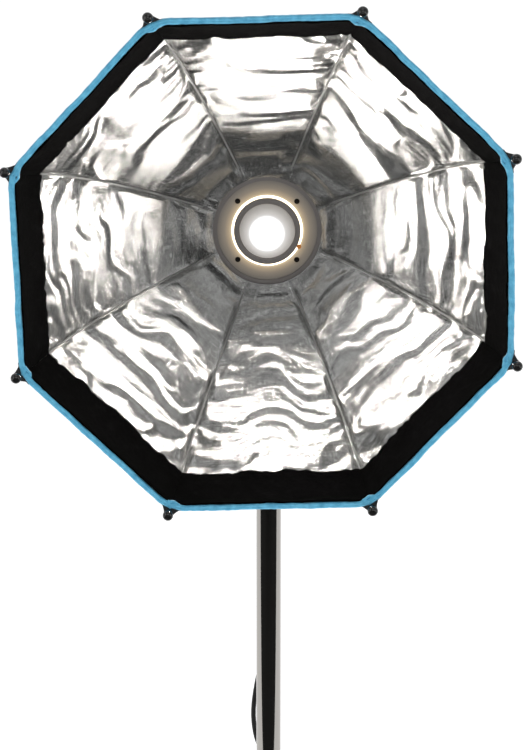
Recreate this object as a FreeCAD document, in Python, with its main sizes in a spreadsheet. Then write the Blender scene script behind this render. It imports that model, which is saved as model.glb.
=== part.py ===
"""Studio softbox with its lamp head, tilt swivel, riser column and mains lead, as a parametric FreeCAD document.

The frame is +Z up, with the origin on the riser column's axis at the shoulder of its mounting pin. The softbox
opens towards -Y. Optical parts are drawn in a local frame whose x is to the right, y up and z forward, seen from
the front, with z = 0 at the speed ring's plane.
"""

import FreeCAD, Part
import math
import os
import re

import Sketcher
from FreeCAD import Placement, Rotation, Vector

RIB_COUNT = 8
HALF_SECTOR = 180.0 / RIB_COUNT

# alias: (value in millimetres or degrees, what it is)
DIMENSIONS = {
    "axis_height": (920.0, "height of the optical axis above the mount's shoulder"),
    "ring_plane": (-110.0, "y of the speed ring's plane"),
    "mouth_depth": (270.0, "from the speed ring's plane to the softbox's front edge"),
    "clocking": (1.7, "turn of the softbox on its speed ring, degrees"),
    "column_radius": (17.5, "riser column, outside"),
    "column_wall": (2.0, "riser column's wall"),
    "column_top": (727.0, "upper end of the riser tube"),
    "mount_pin_radius": (14.3, "1 1/8 inch mounting pin"),
    "mount_pin_length": (58.0, "mounting pin below its shoulder"),
    "pin_chamfer": (1.5, "chamfer at the mounting pin's end"),
    "socket_depth": (40.0, "how far plugs go into the riser tube"),
    "stud_radius": (8.0, "5/8 inch lighting stud"),
    "stud_length": (40.0, "lighting stud above its flange"),
    "stud_flange": (3.0, "thickness of the stud's flange"),
    "groove_radius": (6.5, "neck of the lighting stud, where the knob bites"),
    "running_gap": (0.05, "radial clearance of a running fit"),
    "pivot_drop": (95.0, "tilt pivot below the optical axis"),
    "yoke_radius": (19.0, "swivel yoke's socket, outside"),
    "yoke_bottom": (93.0, "bottom of the yoke below the pivot"),
    "cheek_radius": (18.0, "round top of the yoke's cheeks"),
    "cheek_inner": (11.0, "inner face of a cheek from the middle"),
    "cheek_thickness": (8.0, "thickness of a cheek"),
    "bolt_radius": (4.98, "pivot bolt"),
    "case_radius": (62.0, "lamp head's casing, outside"),
    "case_wall": (2.5, "casing's wall"),
    "case_front": (-26.0, "casing's front end, forward of the ring's plane"),
    "case_back": (-300.0, "casing's back end"),
    "ring_bore": (64.0, "speed ring's bearing bore"),
    "ring_outer": (75.0, "speed ring's rim"),
    "ring_back": (-22.0, "speed ring's back face"),
    "ring_front": (4.0, "speed ring's front face"),
    "plate_radius": (66.0, "front plate"),
    "plate_thickness": (3.0, "front plate"),
    "plate_hole": (34.0, "front plate's opening under the dome"),
    "screw_square": (39.0, "half of the square that the plate's screws stand on"),
    "dome_radius": (36.5, "glass dome at its foot"),
    "dome_height": (30.0, "glass dome above the plate"),
    "dome_wall": (2.0, "glass dome's wall"),
    "dome_ring_outer": (44.0, "retaining ring round the dome"),
    "rib_radius": (2.5, "spring rib's rod"),
    "rib_bow": (409.0, "radius that the ribs are bowed to"),
    "bow_centre": (-66.0, "radial place of the bow's centre"),
    "bow_ahead": (108.0, "bow's centre ahead of the softbox's front edge"),
    "bow_start": (68.8, "angle of the rib's hinge on its bow, degrees"),
    "bow_end": (14.6, "angle of the rib's tip on its bow, degrees"),
    "shell_bow": (405.0, "radius that the fabric shell is bowed to, at the ribs"),
    "shell_start": (68.36, "angle of the shell's back edge on its bow, degrees"),
    "shell_end": (15.4, "angle of the shell's front edge on its bow, degrees"),
    "shell_thickness": (2.5, "lining, stiffening and shell together"),
    "seam_gap": (3.2, "from a rib's middle plane to the panel beside it"),
    "hinge_pin_radius": (1.98, "rib hinge pins"),
    "ear_gap": (3.2, "inner face of a hinge ear from the middle"),
    "ear_thickness": (3.0, "hinge ear"),
    "ball_radius": (6.0, "ball on a rib's tip"),
    "lead_diameter": (7.0, "mains lead"),
    "coil_inner": (28.0, "coiled lead, inner radius"),
    "coil_outer": (49.0, "coiled lead, outer radius"),
    "coil_width": (21.0, "coiled lead, along its axis"),
    "coil_drop": (822.0, "coil's centre below the optical axis"),
    "plug_beside": (27.5, "plug's axis beside the coil's middle"),
    "plug_behind": (50.0, "plug's axis behind the riser's axis"),
    "coil_behind": (67.5, "coil's centre behind the riser's axis"),
    "tie_height": (20.0, "strap that ties the coil to the riser"),
}

# The hanging stretch of the mains lead, from its connector to its coil: x, y, and z below the optical axis.
LEAD_ROUTE = [
    (0.0, 150.0, -124.0),
    (0.0, 150.0, -162.0),
    (-2.0, 140.0, -208.0),
    (-4.0, 114.0, -253.0),
    (-5.0, 82.0, -298.0),
    (-2.0, 56.0, -352.0),
    (2.0, 41.0, -414.0),
    (6.0, 33.0, -482.0),
    (6.0, 31.0, -545.0),
    (0.0, 33.0, -600.0),
    (-11.0, 33.0, -645.0),
    (-20.5, 31.0, -680.0),
    (-22.0, 29.0, -714.0),
    (-16.0, 27.0, -748.0),
    (-8.5, 23.5, -779.0),
    (-7.0, 22.0, -806.0),
]

document = FreeCAD.newDocument("studio_softbox")
sheet = document.addObject("Spreadsheet::Sheet", "Dimensions")
subparts = []


def fill_sheet():
    """Put the driving dimensions in the spreadsheet, a named cell each."""
    for row, (alias, (value, meaning)) in enumerate(DIMENSIONS.items(), start=1):
        sheet.set(f"A{row}", meaning)
        sheet.set(f"B{row}", str(value))
        sheet.setAlias(f"B{row}", alias)
    document.recompute()


def size(alias):
    """Read one driving dimension from the spreadsheet."""
    return float(sheet.get(alias))


def linked(expression):
    """Turn a plain expression of aliases into one that names the spreadsheet."""
    return re.sub(r"[a-z][a-z_]+", r"Dimensions.\g<0>", expression)


def bind(thing, **expressions):
    """Tie properties of a thing to expressions of the driving dimensions, or set them to plain numbers."""
    for name, value in expressions.items():
        if isinstance(value, str):
            thing.setExpression(name, linked(value))
        else:
            setattr(thing, name, value)
    return thing


def keep(thing, label, place=None):
    """Name a finished sub-part, put it in its place and list it for export."""
    thing.Label = label
    if place is not None:
        thing.Placement = place
    subparts.append(thing)
    return thing


# ---- places ----

FORWARD = Rotation(Vector(1, 0, 0), 90)
UPRIGHT = Placement()


def at(x, y, z, rotation=None):
    """A place at a point, turned if a rotation is given."""
    return Placement(Vector(x, y, z), rotation or Rotation())


def optical(x=0.0, y=0.0, z=0.0, rotation=None):
    """A place in the optical frame, x right, y up and z forward of the speed ring's plane."""
    frame = at(0, size("ring_plane"), size("axis_height"), FORWARD)
    return frame * at(x, y, z, rotation)


def around(azimuth):
    """The optical frame turned about its axis, so that x points along an azimuth."""
    return optical(rotation=Rotation(Vector(0, 0, 1), azimuth))


def pivot():
    """The place of the tilt pivot, with axes along the part's own."""
    return at(0, 0, size("axis_height") - size("pivot_drop"))


# ---- primitives and booleans ----


def cylinder(radius, height, place=None):
    """A cylinder bound to the sheet, along its place's z axis."""
    thing = bind(document.addObject("Part::Cylinder", "Cylinder"), Radius=radius, Height=height)
    thing.Placement = place or UPRIGHT
    return thing


def cone(foot, top, height, place=None):
    """A cone bound to the sheet, along its place's z axis."""
    thing = bind(document.addObject("Part::Cone", "Cone"), Radius1=foot, Radius2=top, Height=height)
    thing.Placement = place or UPRIGHT
    return thing


def block(length, width, height, place=None):
    """A box centred on its place in x and y, standing on it in z."""
    thing = bind(document.addObject("Part::Box", "Block"), Length=length, Width=width, Height=height)
    document.recompute()
    middle = at(-float(thing.Length) / 2, -float(thing.Width) / 2, 0)
    thing.Placement = (place or UPRIGHT) * middle
    return thing


def ball(radius, place=None):
    """A sphere bound to the sheet."""
    thing = bind(document.addObject("Part::Sphere", "Ball"), Radius=radius)
    thing.Placement = place or UPRIGHT
    return thing


def joined(*things):
    """Several things as one solid."""
    thing = document.addObject("Part::MultiFuse", "Joined")
    thing.Shapes = list(things)
    thing.Refine = True
    return thing


def less(base, *tools):
    """A thing with others cut away."""
    tool = tools[0] if len(tools) == 1 else joined(*tools)
    thing = document.addObject("Part::Cut", "Less")
    thing.Base = base
    thing.Tool = tool
    return thing


def group(*things):
    """Several separate solids as one sub-part."""
    thing = document.addObject("Part::Compound", "Group")
    thing.Links = list(things)
    return thing


def softened(base, radius, picked):
    """A thing with the edges that picked() accepts rounded."""
    document.recompute()
    thing = document.addObject("Part::Fillet", "Softened")
    thing.Base = base
    thing.Edges = [(n, radius, radius) for n, edge in enumerate(base.Shape.Edges, start=1) if picked(edge)]
    return thing


def along_x(place_x=0.0, y=0.0, z=0.0):
    """A place whose z axis lies along the part's x axis."""
    return at(place_x, y, z, Rotation(Vector(0, 1, 0), 90))


def along_y(x=0.0, place_y=0.0, z=0.0):
    """A place whose z axis lies along the part's y axis."""
    return at(x, place_y, z, Rotation(Vector(1, 0, 0), -90))


# ---- PartDesign bodies ----


def body_plane(body, role):
    """One of a body's own origin planes."""
    return next(f for f in body.Origin.OriginFeatures if f.Role == role)


def body_axis(body, role):
    """One of a body's own origin axes."""
    return next(f for f in body.Origin.OriginFeatures if f.Role == role)


def outline(body, role, corners, lift=None):
    """A closed sketch of straight edges on a body's own plane, each corner bound to the sheet."""
    sketch = body.newObject("Sketcher::SketchObject", "Outline")
    sketch.AttachmentSupport = [(body_plane(body, role), "")]
    sketch.MapMode = "FlatFace"
    if lift is not None:
        sketch.AttachmentOffset = at(0, 0, lift)
    count = len(corners)
    values = [(evaluate(u), evaluate(v)) for u, v in corners]
    points = [Vector(u, v, 0) for u, v in values]
    for k in range(count):
        sketch.addGeometry(Part.LineSegment(points[k], points[(k + 1) % count]), False)
    for k in range(count):
        sketch.addConstraint(Sketcher.Constraint("Coincident", k, 2, (k + 1) % count, 1))
    for k, (u, v) in enumerate(corners):
        for kind, expression, value in (("DistanceX", u, values[k][0]), ("DistanceY", v, values[k][1])):
            number = sketch.addConstraint(Sketcher.Constraint(kind, k, 1, value))
            sketch.setExpression(f"Constraints[{number}]", linked(str(expression)))
    return sketch


def evaluate(expression):
    """The present value of an expression of aliases."""
    if not isinstance(expression, str):
        return float(expression)
    sheet.set("D1", "=" + expression)
    sheet.recompute()
    result = float(sheet.get("D1"))
    sheet.clear("D1")
    return result


def circles(body, role, holes, lift=0.0):
    """A sketch of circles on a body's own plane: (u, v, radius) each, bound to the sheet."""
    sketch = body.newObject("Sketcher::SketchObject", "Circles")
    sketch.AttachmentSupport = [(body_plane(body, role), "")]
    sketch.MapMode = "FlatFace"
    sketch.AttachmentOffset = at(0, 0, lift)
    for k, (u, v, radius) in enumerate(holes):
        values = [evaluate(u), evaluate(v), evaluate(radius)]
        sketch.addGeometry(Part.Circle(Vector(values[0], values[1], 0), Vector(0, 0, 1), values[2]), False)
        for constraint, expression in (
            (Sketcher.Constraint("DistanceX", k, 3, values[0]), u),
            (Sketcher.Constraint("DistanceY", k, 3, values[1]), v),
            (Sketcher.Constraint("Radius", k, values[2]), radius),
        ):
            number = sketch.addConstraint(constraint)
            sketch.setExpression(f"Constraints[{number}]", linked(str(expression)))
    return sketch


def new_body(label):
    """An empty PartDesign body."""
    return document.addObject("PartDesign::Body", label)


def revolved(body, corners):
    """Turn a profile of (radius, height) corners round a body's z axis."""
    feature = body.newObject("PartDesign::Revolution", "Turned")
    feature.Profile = outline(body, "XZ_Plane", corners)
    feature.ReferenceAxis = (body_axis(body, "Z_Axis"), [""])
    feature.Angle = 360
    document.recompute()
    return feature


def grooved(body, corners):
    """Cut a profile of (radius, height) corners out of a body, all the way round its z axis."""
    before = body.Shape.Volume
    feature = body.newObject("PartDesign::Groove", "Grooved")
    feature.Profile = outline(body, "XZ_Plane", corners)
    feature.ReferenceAxis = (body_axis(body, "Z_Axis"), [""])
    feature.Angle = 360
    document.recompute()
    check_cut(body, before)
    return feature


def padded(body, sketch, length, reverse=False):
    """Pad a sketch by a length bound to the sheet."""
    feature = body.newObject("PartDesign::Pad", "Padded")
    feature.Profile = sketch
    bind(feature, Length=length)
    feature.Reversed = reverse
    document.recompute()
    return feature


def pocketed(body, sketch, length):
    """Pocket a sketch by the same length to both sides."""
    before = body.Shape.Volume
    feature = body.newObject("PartDesign::Pocket", "Pocketed")
    feature.Profile = sketch
    feature.SideType = "Symmetric"
    bind(feature, Length=length)
    document.recompute()
    check_cut(body, before)
    return feature


def repeated(body, feature, count):
    """Repeat a feature around the body's z axis."""
    pattern = body.newObject("PartDesign::PolarPattern", "Repeated")
    pattern.Originals = [feature]
    pattern.Axis = (body_axis(body, "Z_Axis"), [""])
    pattern.Angle = 360
    pattern.Occurrences = count
    body.Tip = pattern
    document.recompute()
    return pattern


def check_cut(body, before):
    """Stop if a cut took nothing away."""
    if body.Shape.Volume >= before - 1e-6:
        raise RuntimeError(f"a cut in {body.Label} removed nothing")


# ---- riser column ----


def build_column():
    """The riser tube, its mounting pin below and its lighting stud above."""
    pin = new_body("junior_pin")
    revolved(pin, [
        (0, "-mount_pin_length"),
        ("mount_pin_radius - pin_chamfer", "-mount_pin_length"),
        ("mount_pin_radius", "-mount_pin_length + pin_chamfer"),
        ("mount_pin_radius", 0),
        ("column_radius", 0),
        ("column_radius", "stud_flange"),
        ("column_radius - column_wall", "stud_flange"),
        ("column_radius - column_wall", "socket_depth"),
        (0, "socket_depth"),
    ])
    keep(pin, "junior_pin", UPRIGHT)

    tube = new_body("riser_tube")
    revolved(tube, [
        ("column_radius - column_wall", "stud_flange"),
        ("column_radius", "stud_flange"),
        ("column_radius", "column_top"),
        ("column_radius - column_wall", "column_top"),
    ])
    keep(tube, "riser_tube", UPRIGHT)

    stud = new_body("lighting_stud")
    revolved(stud, [
        (0, "column_top - socket_depth"),
        ("column_radius - column_wall", "column_top - socket_depth"),
        ("column_radius - column_wall", "column_top"),
        ("column_radius", "column_top"),
        ("column_radius", "column_top + stud_flange"),
        ("stud_radius", "column_top + stud_flange"),
        ("stud_radius", "column_top + stud_flange + stud_length - pin_chamfer"),
        ("stud_radius - pin_chamfer", "column_top + stud_flange + stud_length"),
        (0, "column_top + stud_flange + stud_length"),
    ])
    grooved(stud, [
        ("groove_radius", "column_top + 22"),
        ("stud_radius + 2", "column_top + 22"),
        ("stud_radius + 2", "column_top + 34"),
        ("groove_radius", "column_top + 34"),
    ])
    keep(stud, "lighting_stud", UPRIGHT)


# ---- swivel ----


def build_swivel():
    """The yoke that turns on the stud, its pivot bolt, its clamping knob and the tilt lever."""
    half_width = "2 * (cheek_inner + cheek_thickness)"
    socket = cylinder("yoke_radius", "yoke_bottom - 26", at(0, 0, -size("yoke_bottom")))
    bridge = block(half_width, "2 * cheek_radius", "10", at(0, 0, -34))
    solids = [socket, bridge]
    for side in (-1, 1):
        inner = size("cheek_inner")
        outer = inner + size("cheek_thickness")
        middle = side * (inner + outer) / 2
        solids.append(block("cheek_thickness", "2 * cheek_radius", "30", at(middle, 0, -30)))
        start = inner if side > 0 else -outer
        solids.append(cylinder("cheek_radius", "cheek_thickness", along_x(start)))
    bore = cylinder("stud_radius + running_gap", "yoke_bottom - 50", at(0, 0, -size("yoke_bottom")))
    bolt_hole = cylinder("bolt_radius + 0.02", "60", along_x(-30))
    screw_hole = cylinder("4.05", "30", along_y(0, 0, -70))
    keep(less(joined(*solids), bore, bolt_hole, screw_hole), "swivel_yoke", pivot())

    shank = cylinder("bolt_radius", "55", along_x(-20))
    head = cylinder("9", "6", along_x(-25.1))
    keep(joined(shank, head), "pivot_bolt", pivot())

    hub = softened(cylinder("10", "14", along_x(19.4)), 2.0, lambda edge: edge.BoundBox.XMin > 30)
    hanging = at(27, 0, 0, Rotation(Vector(1, 0, 0), 150))
    arm = block("7", "9", "62", hanging)
    grip = ball("7", hanging * at(0, 0, 62))
    lever_bore = cylinder("bolt_radius + running_gap", "20", along_x(16))
    keep(less(joined(hub, arm, grip), lever_bore), "tilt_lever", pivot())

    stem = cylinder("4", "28", along_y(0, 8.2, -70))
    boss = cylinder("9", "12", along_y(0, 34, -70))
    wing = softened(block("46", "10", "11", at(0, 45, -75.5)), 2.0, lambda edge: True)
    keep(joined(stem, boss, wing), "spigot_knob", pivot())


# ---- lamp head ----


def build_case():
    """The lamp head's casing, its saddle bracket and its back panel."""
    case = new_body("head_casing")
    revolved(case, [
        ("case_radius - case_wall", "case_back"),
        ("case_radius", "case_back"),
        ("case_radius", "case_front"),
        ("case_radius - case_wall", "case_front"),
    ])
    slot = outline(case, "YZ_Plane", [(-2, -205), (2, -205), (2, -145), (-2, -145)])
    repeated(case, pocketed(case, slot, "2 * case_radius + 10"), 8)
    inlet = outline(case, "XZ_Plane", [(-14.2, -270.2), (14.2, -270.2), (14.2, -249.8), (-14.2, -249.8)], 60.0)
    pocketed(case, inlet, "14")
    keep(case, "head_casing", optical())

    drop = size("pivot_drop")
    tongue = block("2 * cheek_inner - 0.6", "34", "30")
    knuckle = cylinder("17", "2 * cheek_inner - 0.6", along_x(-size("cheek_inner") + 0.3))
    saddle = block("44", "72", "11", at(0, 0, 26))
    room = cylinder("case_radius", "120", along_y(0, -60, drop))
    bolt_bore = cylinder("bolt_radius + 0.07", "40", along_x(-20))
    keep(less(joined(tongue, knuckle, saddle), room, bolt_bore), "tilt_bracket", pivot())

    panel = new_body("back_panel")
    padded(panel, circles(panel, "XY_Plane", [(0, 0, "case_radius - case_wall")]), "3")
    openings = [(-22, 18, 3.05), (22, 18, 3.05), (0, 40, 4.3)]
    pocketed(panel, circles(panel, "XY_Plane", openings), "10")
    rocker = outline(panel, "XY_Plane", [(-6.5, -33), (6.5, -33), (6.5, -11), (-6.5, -11)])
    pocketed(panel, rocker, "10")
    keep(panel, "back_panel", optical(0, 0, size("case_back")))


def build_controls():
    """The dials, rocker switch and test button in the back panel, each about its own place on it."""
    back = size("case_back")
    turned = Rotation(Vector(1, 0, 0), 180)
    for label, x in (("flash_dial", -22.0), ("lamp_dial", 22.0)):
        knob = softened(cylinder("11", "13", at(0, 0, 0.3)), 1.5, lambda edge: edge.BoundBox.ZMin > 12)
        shaft = cylinder("3", "10", at(0, 0, -9))
        mark = block("1.6", "9", "1.5", at(0, 5.5, 12.6))
        keep(joined(knob, shaft, mark), label, optical(x, 18, back, turned))
    disc = cylinder("10.4", "12", along_x(-6))
    flat = block("30", "30", "12", at(0, 0, 3.2, Rotation(Vector(1, 0, 0), 8)))
    hollow = block("30", "30", "14", at(0, 0, -16))
    keep(less(disc, flat, hollow), "power_switch", optical(0, -22, back + 1.5, turned))
    cap = cylinder("4", "7", at(0, 0, -3))
    flange = cylinder("5.4", "1.2", at(0, 0, -4.6))
    neck = cylinder("3", "1", at(0, 0, -3.6))
    button = joined(softened(cap, 0.8, lambda edge: edge.BoundBox.ZMin > 3.5), neck, flange)
    keep(button, "test_button", optical(0, 40, back, turned))


def build_inlet():
    """The mains inlet under the casing, the lead's connector in it and that connector's strain relief."""
    down = Rotation(Vector(1, 0, 0), 90)
    frame = optical(0, 0, -260)
    shell = block("28", "20", "23", at(0, -40, 0, down))
    hole = block("24.2", "16.2", "13", at(0, -51, 0, down))
    pins = [block("1.8", "4", "9", at(x, -49.5, y, down)) for x, y in ((-7, 2), (7, 2), (0, -4))]
    keep(joined(less(shell, hole), *pins), "mains_inlet", frame)
    plug = softened(block("23.6", "15.6", "38", at(0, -54, 0, down)), 3.0, lambda e: e.BoundBox.YLength > 30)
    pin_holes = [block("2.2", "4.4", "8", at(x, -53, y, down)) for x, y in ((-7, 2), (7, 2), (0, -4))]
    relief = cone("6.5", "0.5 * lead_diameter + 0.8", "32", at(0, -92, 0, down))
    keep(joined(less(plug, *pin_holes), relief), "lead_connector", frame)


def build_front():
    """What stands round the lamp at the front of the head: ring, plate, dome, tube and bulb."""
    adapter = new_body("adapter_ring")
    revolved(adapter, [
        (48, "case_front"),
        (70, "case_front"),
        (70, "case_front + 3.7"),
        ("ring_bore - running_gap", "case_front + 3.7"),
        ("ring_bore - running_gap", -0.2),
        (48, -0.2),
    ])
    square = [(f"{u} * screw_square", f"{v} * screw_square") for u in (-1, 1) for v in (-1, 1)]
    pocketed(adapter, circles(adapter, "XY_Plane", [(u, v, 2.0) for u, v in square]), "26")
    keep(adapter, "adapter_ring", optical())

    plate = new_body("front_plate")
    padded(plate, circles(plate, "XY_Plane", [(0, 0, "plate_radius")]), "plate_thickness")
    holes = [(u, v, 3.7) for u, v in square] + [(0, 0, "plate_hole")]
    pocketed(plate, circles(plate, "XY_Plane", holes), "10")
    keep(plate, "front_plate", optical(0, 0, -0.2))

    reach = size("screw_square")
    screws = []
    for x in (-reach, reach):
        for y in (-reach, reach):
            head = less(cylinder("3.6", "2.2", at(x, y, -0.2)), cylinder("1.6", "2", at(x, y, 0.8)))
            screws.append(joined(head, cylinder("1.98", "11", at(x, y, -11))))
    keep(group(*screws), "plate_screws", optical())

    top = size("plate_thickness") - 0.2
    ring = less(
        cylinder("dome_ring_outer", "7", at(0, 0, top)), cylinder("dome_radius + 0.1", "20", at(0, 0, top - 2))
    )
    keep(softened(ring, 1.5, lambda edge: edge.BoundBox.ZMin > top + 6), "dome_ring", optical())
    keep(hollow_dome(), "glass_dome", optical(0, 0, top))

    base = joined(cylinder("33.5", "10", at(0, 0, -10)), cylinder("14", "36", at(0, 0, -45)))
    keep(base, "lamp_socket", optical())
    ring_tube = bind(document.addObject("Part::Torus", "Tube"), Radius1="24", Radius2="3.5")
    ring_tube.Placement = at(0, 0, 13)
    legs = [cylinder("3.4", "13", at(x, 0, 0)) for x in (-24, 24)]
    keep(joined(ring_tube, *legs), "flash_tube", optical())
    bulb = joined(cylinder("8", "8", at(0, 0, 0)), cylinder("10.5", "9", at(0, 0, 8)), ball("10.5", at(0, 0, 17)))
    keep(bulb, "modelling_lamp", optical())
    keep(cylinder("3", "2.2"), "sensor_window", optical(42, -21, top))


def hollow_dome():
    """The frosted dome over the lamp: half of a hollow flattened ball with a straight foot."""
    outer_radius = size("dome_radius")
    inner_radius = outer_radius - size("dome_wall")
    height = size("dome_height")

    def bowl(radius, rise):
        sphere = Part.makeSphere(radius, Vector(), Vector(0, 0, 1), 0, 90, 360)
        flatten = FreeCAD.Matrix()
        flatten.scale(Vector(1, 1, rise / radius))
        return sphere.transformGeometry(flatten)

    dome = document.addObject("Part::Feature", "Dome")
    dome.Shape = bowl(outer_radius, height).cut(bowl(inner_radius, height - size("dome_wall")))
    return dome


def build_inside():
    """What the casing holds: capacitors, circuit board and the fan's rotor."""
    cans = [cylinder("17", "80", at(x, y, -150)) for x, y in ((-20, 26), (20, 26), (0, -8))]
    keep(group(*cans), "capacitor_bank", optical())
    board = block("92", "1.6", "170", at(0, -31, -225))
    coils = [cylinder("9", "16", at(x, -30.2, z, Rotation(Vector(1, 0, 0), -90))) for x, z in ((-33, -180), (33, -200))]
    keep(joined(board, *coils), "circuit_board", optical())
    blades = []
    for k in range(7):
        turn = at(0, 0, 0, Rotation(Vector(0, 0, 1), k * 360 / 7))
        blades.append(block("26", "13", "1.4", turn * at(23, 0, 7, Rotation(Vector(1, 0, 0), 35))))
    hub = cylinder("13", "14")
    keep(joined(hub, *blades), "fan_rotor", optical(0, 0, -246))
    motor_post = cylinder("6", "16", at(0, 0, -262.3))
    arms = [block("116", "6", "3", at(0, 0, -262.3, Rotation(Vector(0, 0, 1), turn))) for turn in (45, 135)]
    keep(joined(motor_post, *arms), "fan_bracket", optical())


# ---- speed ring, ribs and panels ----


def hinge_place():
    """Radial and forward place of a rib's hinge pin in the optical frame."""
    return bow_point(size("rib_bow"), size("bow_start"))


def bow_point(radius, angle):
    """A point (radial, forward) of a bow round the softbox's common bow centre."""
    turn = math.radians(angle)
    ahead = size("mouth_depth") + size("bow_ahead")
    return size("bow_centre") + radius * math.cos(turn), ahead - radius * math.sin(turn)


def rib_azimuth(number):
    """The direction of a rib round the axis, counted from 1."""
    return HALF_SECTOR * (2 * number - 1) + size("clocking")


def panel_azimuth(number):
    """The direction of the middle of a panel, between a rib and the next."""
    return rib_azimuth(number) + HALF_SECTOR


def spoke_between_ribs(radial):
    """A place on the lock knob's axis, pointing outwards between the last rib and the first."""
    spoke = at(0, 0, 0, Rotation(Vector(0, 0, 1), -HALF_SECTOR))
    return spoke * at(radial, 0, -17, Rotation(Vector(0, 1, 0), 90))


def build_speed_ring():
    """The ring that turns on the lamp head, with an ear pair for each rib, their pins and the locking knob."""
    radial, forward = hinge_place()
    body = new_body("ring_casting")
    revolved(body, [
        ("ring_bore", "ring_back"),
        ("ring_outer - 3", "ring_back"),
        ("ring_outer - 3", -12),
        ("ring_outer", -10),
        ("ring_outer", "ring_front - 2"),
        ("ring_outer - 2.5", "ring_front"),
        ("plate_radius + 0.3", "ring_front"),
        ("plate_radius + 0.3", -0.5),
        ("ring_bore", -0.5),
    ])
    inner = size("ear_gap")
    outer = inner + size("ear_thickness")
    for low, high in ((inner, outer), (-outer, -inner)):
        corners = [("ring_outer - 2", low), (radial + 4.5, low), (radial + 4.5, high), ("ring_outer - 2", high)]
        ear = padded(body, outline(body, "XY_Plane", corners, forward - 5.5), "9.5")
        repeated(body, ear, RIB_COUNT)
    hole = pocketed(body, circles(body, "XZ_Plane", [(radial, forward, "hinge_pin_radius + 0.02")]), "20")
    repeated(body, hole, RIB_COUNT)
    screw_hole = cylinder("3.05", "30", spoke_between_ribs(60))
    keep(less(body, screw_hole), "speed_ring", around(rib_azimuth(1)))

    pins = []
    for number in range(1, RIB_COUNT + 1):
        spoke = at(0, 0, 0, Rotation(Vector(0, 0, 1), rib_azimuth(number)))
        pins.append(cylinder("hinge_pin_radius", "2 * (ear_gap + ear_thickness)",
                             spoke * at(radial, outer, forward, Rotation(Vector(1, 0, 0), 90))))
    keep(group(*pins), "hinge_pins", optical())

    stem = cylinder("3", "22", spoke_between_ribs(64.5))
    grip = cylinder("10", "14", spoke_between_ribs(83))
    flutes = []
    for turn in range(0, 360, 60):
        away = at(11 * math.cos(math.radians(turn)), 11 * math.sin(math.radians(turn)), -1)
        flutes.append(cylinder("2.2", "16", spoke_between_ribs(83) * away))
    keep(less(joined(stem, grip), *flutes), "ring_lock_knob", around(rib_azimuth(1)))


def bowed_rod():
    """The bare rod of a rib, as a slice of a torus."""
    start = math.radians(size("bow_start"))
    ahead = size("mouth_depth") + size("bow_ahead")
    along = Vector(math.cos(start), 0, -math.sin(start))
    onward = Vector(math.sin(start), 0, math.cos(start))
    rod = bind(document.addObject("Part::Torus", "Rod"), Radius1="rib_bow", Radius2="rib_radius",
               Angle3="bow_start - bow_end")
    rod.Placement = Placement(Vector(size("bow_centre"), 0, ahead), Rotation(along, onward, Vector(0, -1, 0), "XYZ"))
    return rod


def build_rib(number):
    """One spring rib, bowed, with the eye that its hinge pin goes through."""
    radial, forward = hinge_place()
    across = Rotation(Vector(1, 0, 0), 90)
    eye = cylinder("4.5", "2 * ear_gap - 0.4", at(radial, size("ear_gap") - 0.2, forward, across))
    bore = cylinder("hinge_pin_radius + 0.07", "12", at(radial, 6, forward, across))
    keep(less(joined(bowed_rod(), eye), bore), f"rib_{number}", around(rib_azimuth(number)))


def build_rib_tip(number):
    """The ball, socket and stitched-on tab at the end of one rib."""
    end = math.radians(size("bow_end"))
    radial, forward = bow_point(size("rib_bow"), size("bow_end"))
    onward = Vector(math.sin(end), 0, math.cos(end))
    outward = Vector(math.cos(end), 0, -math.sin(end))
    frame = Placement(Vector(radial, 0, forward), Rotation(outward, Vector(0, 1, 0), onward, "XYZ"))
    socket = cylinder("4.2", "22", frame * at(0, 0, -20))
    tab = block("2", "24", "14", frame * at(3.6, 0, -18))
    tip = ball("ball_radius", frame * at(0, 0, 4.5))
    keep(less(joined(socket, tab, tip), bowed_rod()), f"rib_tip_{number}", around(rib_azimuth(number)))


def shell_arc(offset, start, end):
    """An edge of the panel's section in its own middle plane, moved outwards by an offset."""
    squeeze = math.cos(math.radians(HALF_SECTOR))
    ends = []
    for angle in (start, (start + end) / 2, end):
        radial, forward = bow_point(size("shell_bow"), angle)
        ends.append(Vector(radial * squeeze + offset * math.cos(math.radians(angle)), 0,
                           forward - offset * math.sin(math.radians(angle))))
    return ends


def build_panel(number):
    """One panel of the fabric shell: lining, stiffening and outer cloth as one bowed sheet between two ribs."""
    start, end = size("shell_start"), size("shell_end")
    inner = shell_arc(-1.0, start, end)
    outer = shell_arc(size("shell_thickness") - 1.0, start, end)
    edges = [
        Part.Arc(*inner).toShape(),
        Part.LineSegment(inner[2], outer[2]).toShape(),
        Part.Arc(*reversed(outer)).toShape(),
        Part.LineSegment(outer[0], inner[0]).toShape(),
    ]
    reach = 150.0
    sheet_solid = Part.Face(Part.Wire(edges)).extrude(Vector(0, 2 * reach, 0))
    sheet_solid.translate(Vector(0, -reach, 0))
    slope = math.tan(math.radians(HALF_SECTOR))
    back = size("seam_gap") / math.sin(math.radians(HALF_SECTOR))
    far = 400.0
    corners = [Vector(back, 0, -50), Vector(far, -(far - back) * slope, -50), Vector(far, (far - back) * slope, -50)]
    wedge = Part.Face(Part.makePolygon(corners + corners[:1])).extrude(Vector(0, 0, far))
    solid = sheet_solid.common(wedge)
    radial, forward = hinge_place()
    ears = size("ear_gap") + size("ear_thickness") + 1.2
    for side in (-1, 1):
        room = Part.makeBox(40, 2 * ears, 40, Vector(radial - 34, -ears, forward - 20))
        room.rotate(Vector(), Vector(0, 0, 1), side * HALF_SECTOR)
        solid = solid.cut(room)
    panel = document.addObject("Part::Feature", "Panel")
    panel.Shape = solid.Solids[0] if len(solid.Solids) == 1 else solid
    keep(panel, f"panel_{number}", around(panel_azimuth(number)))


# ---- mains lead ----


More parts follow.
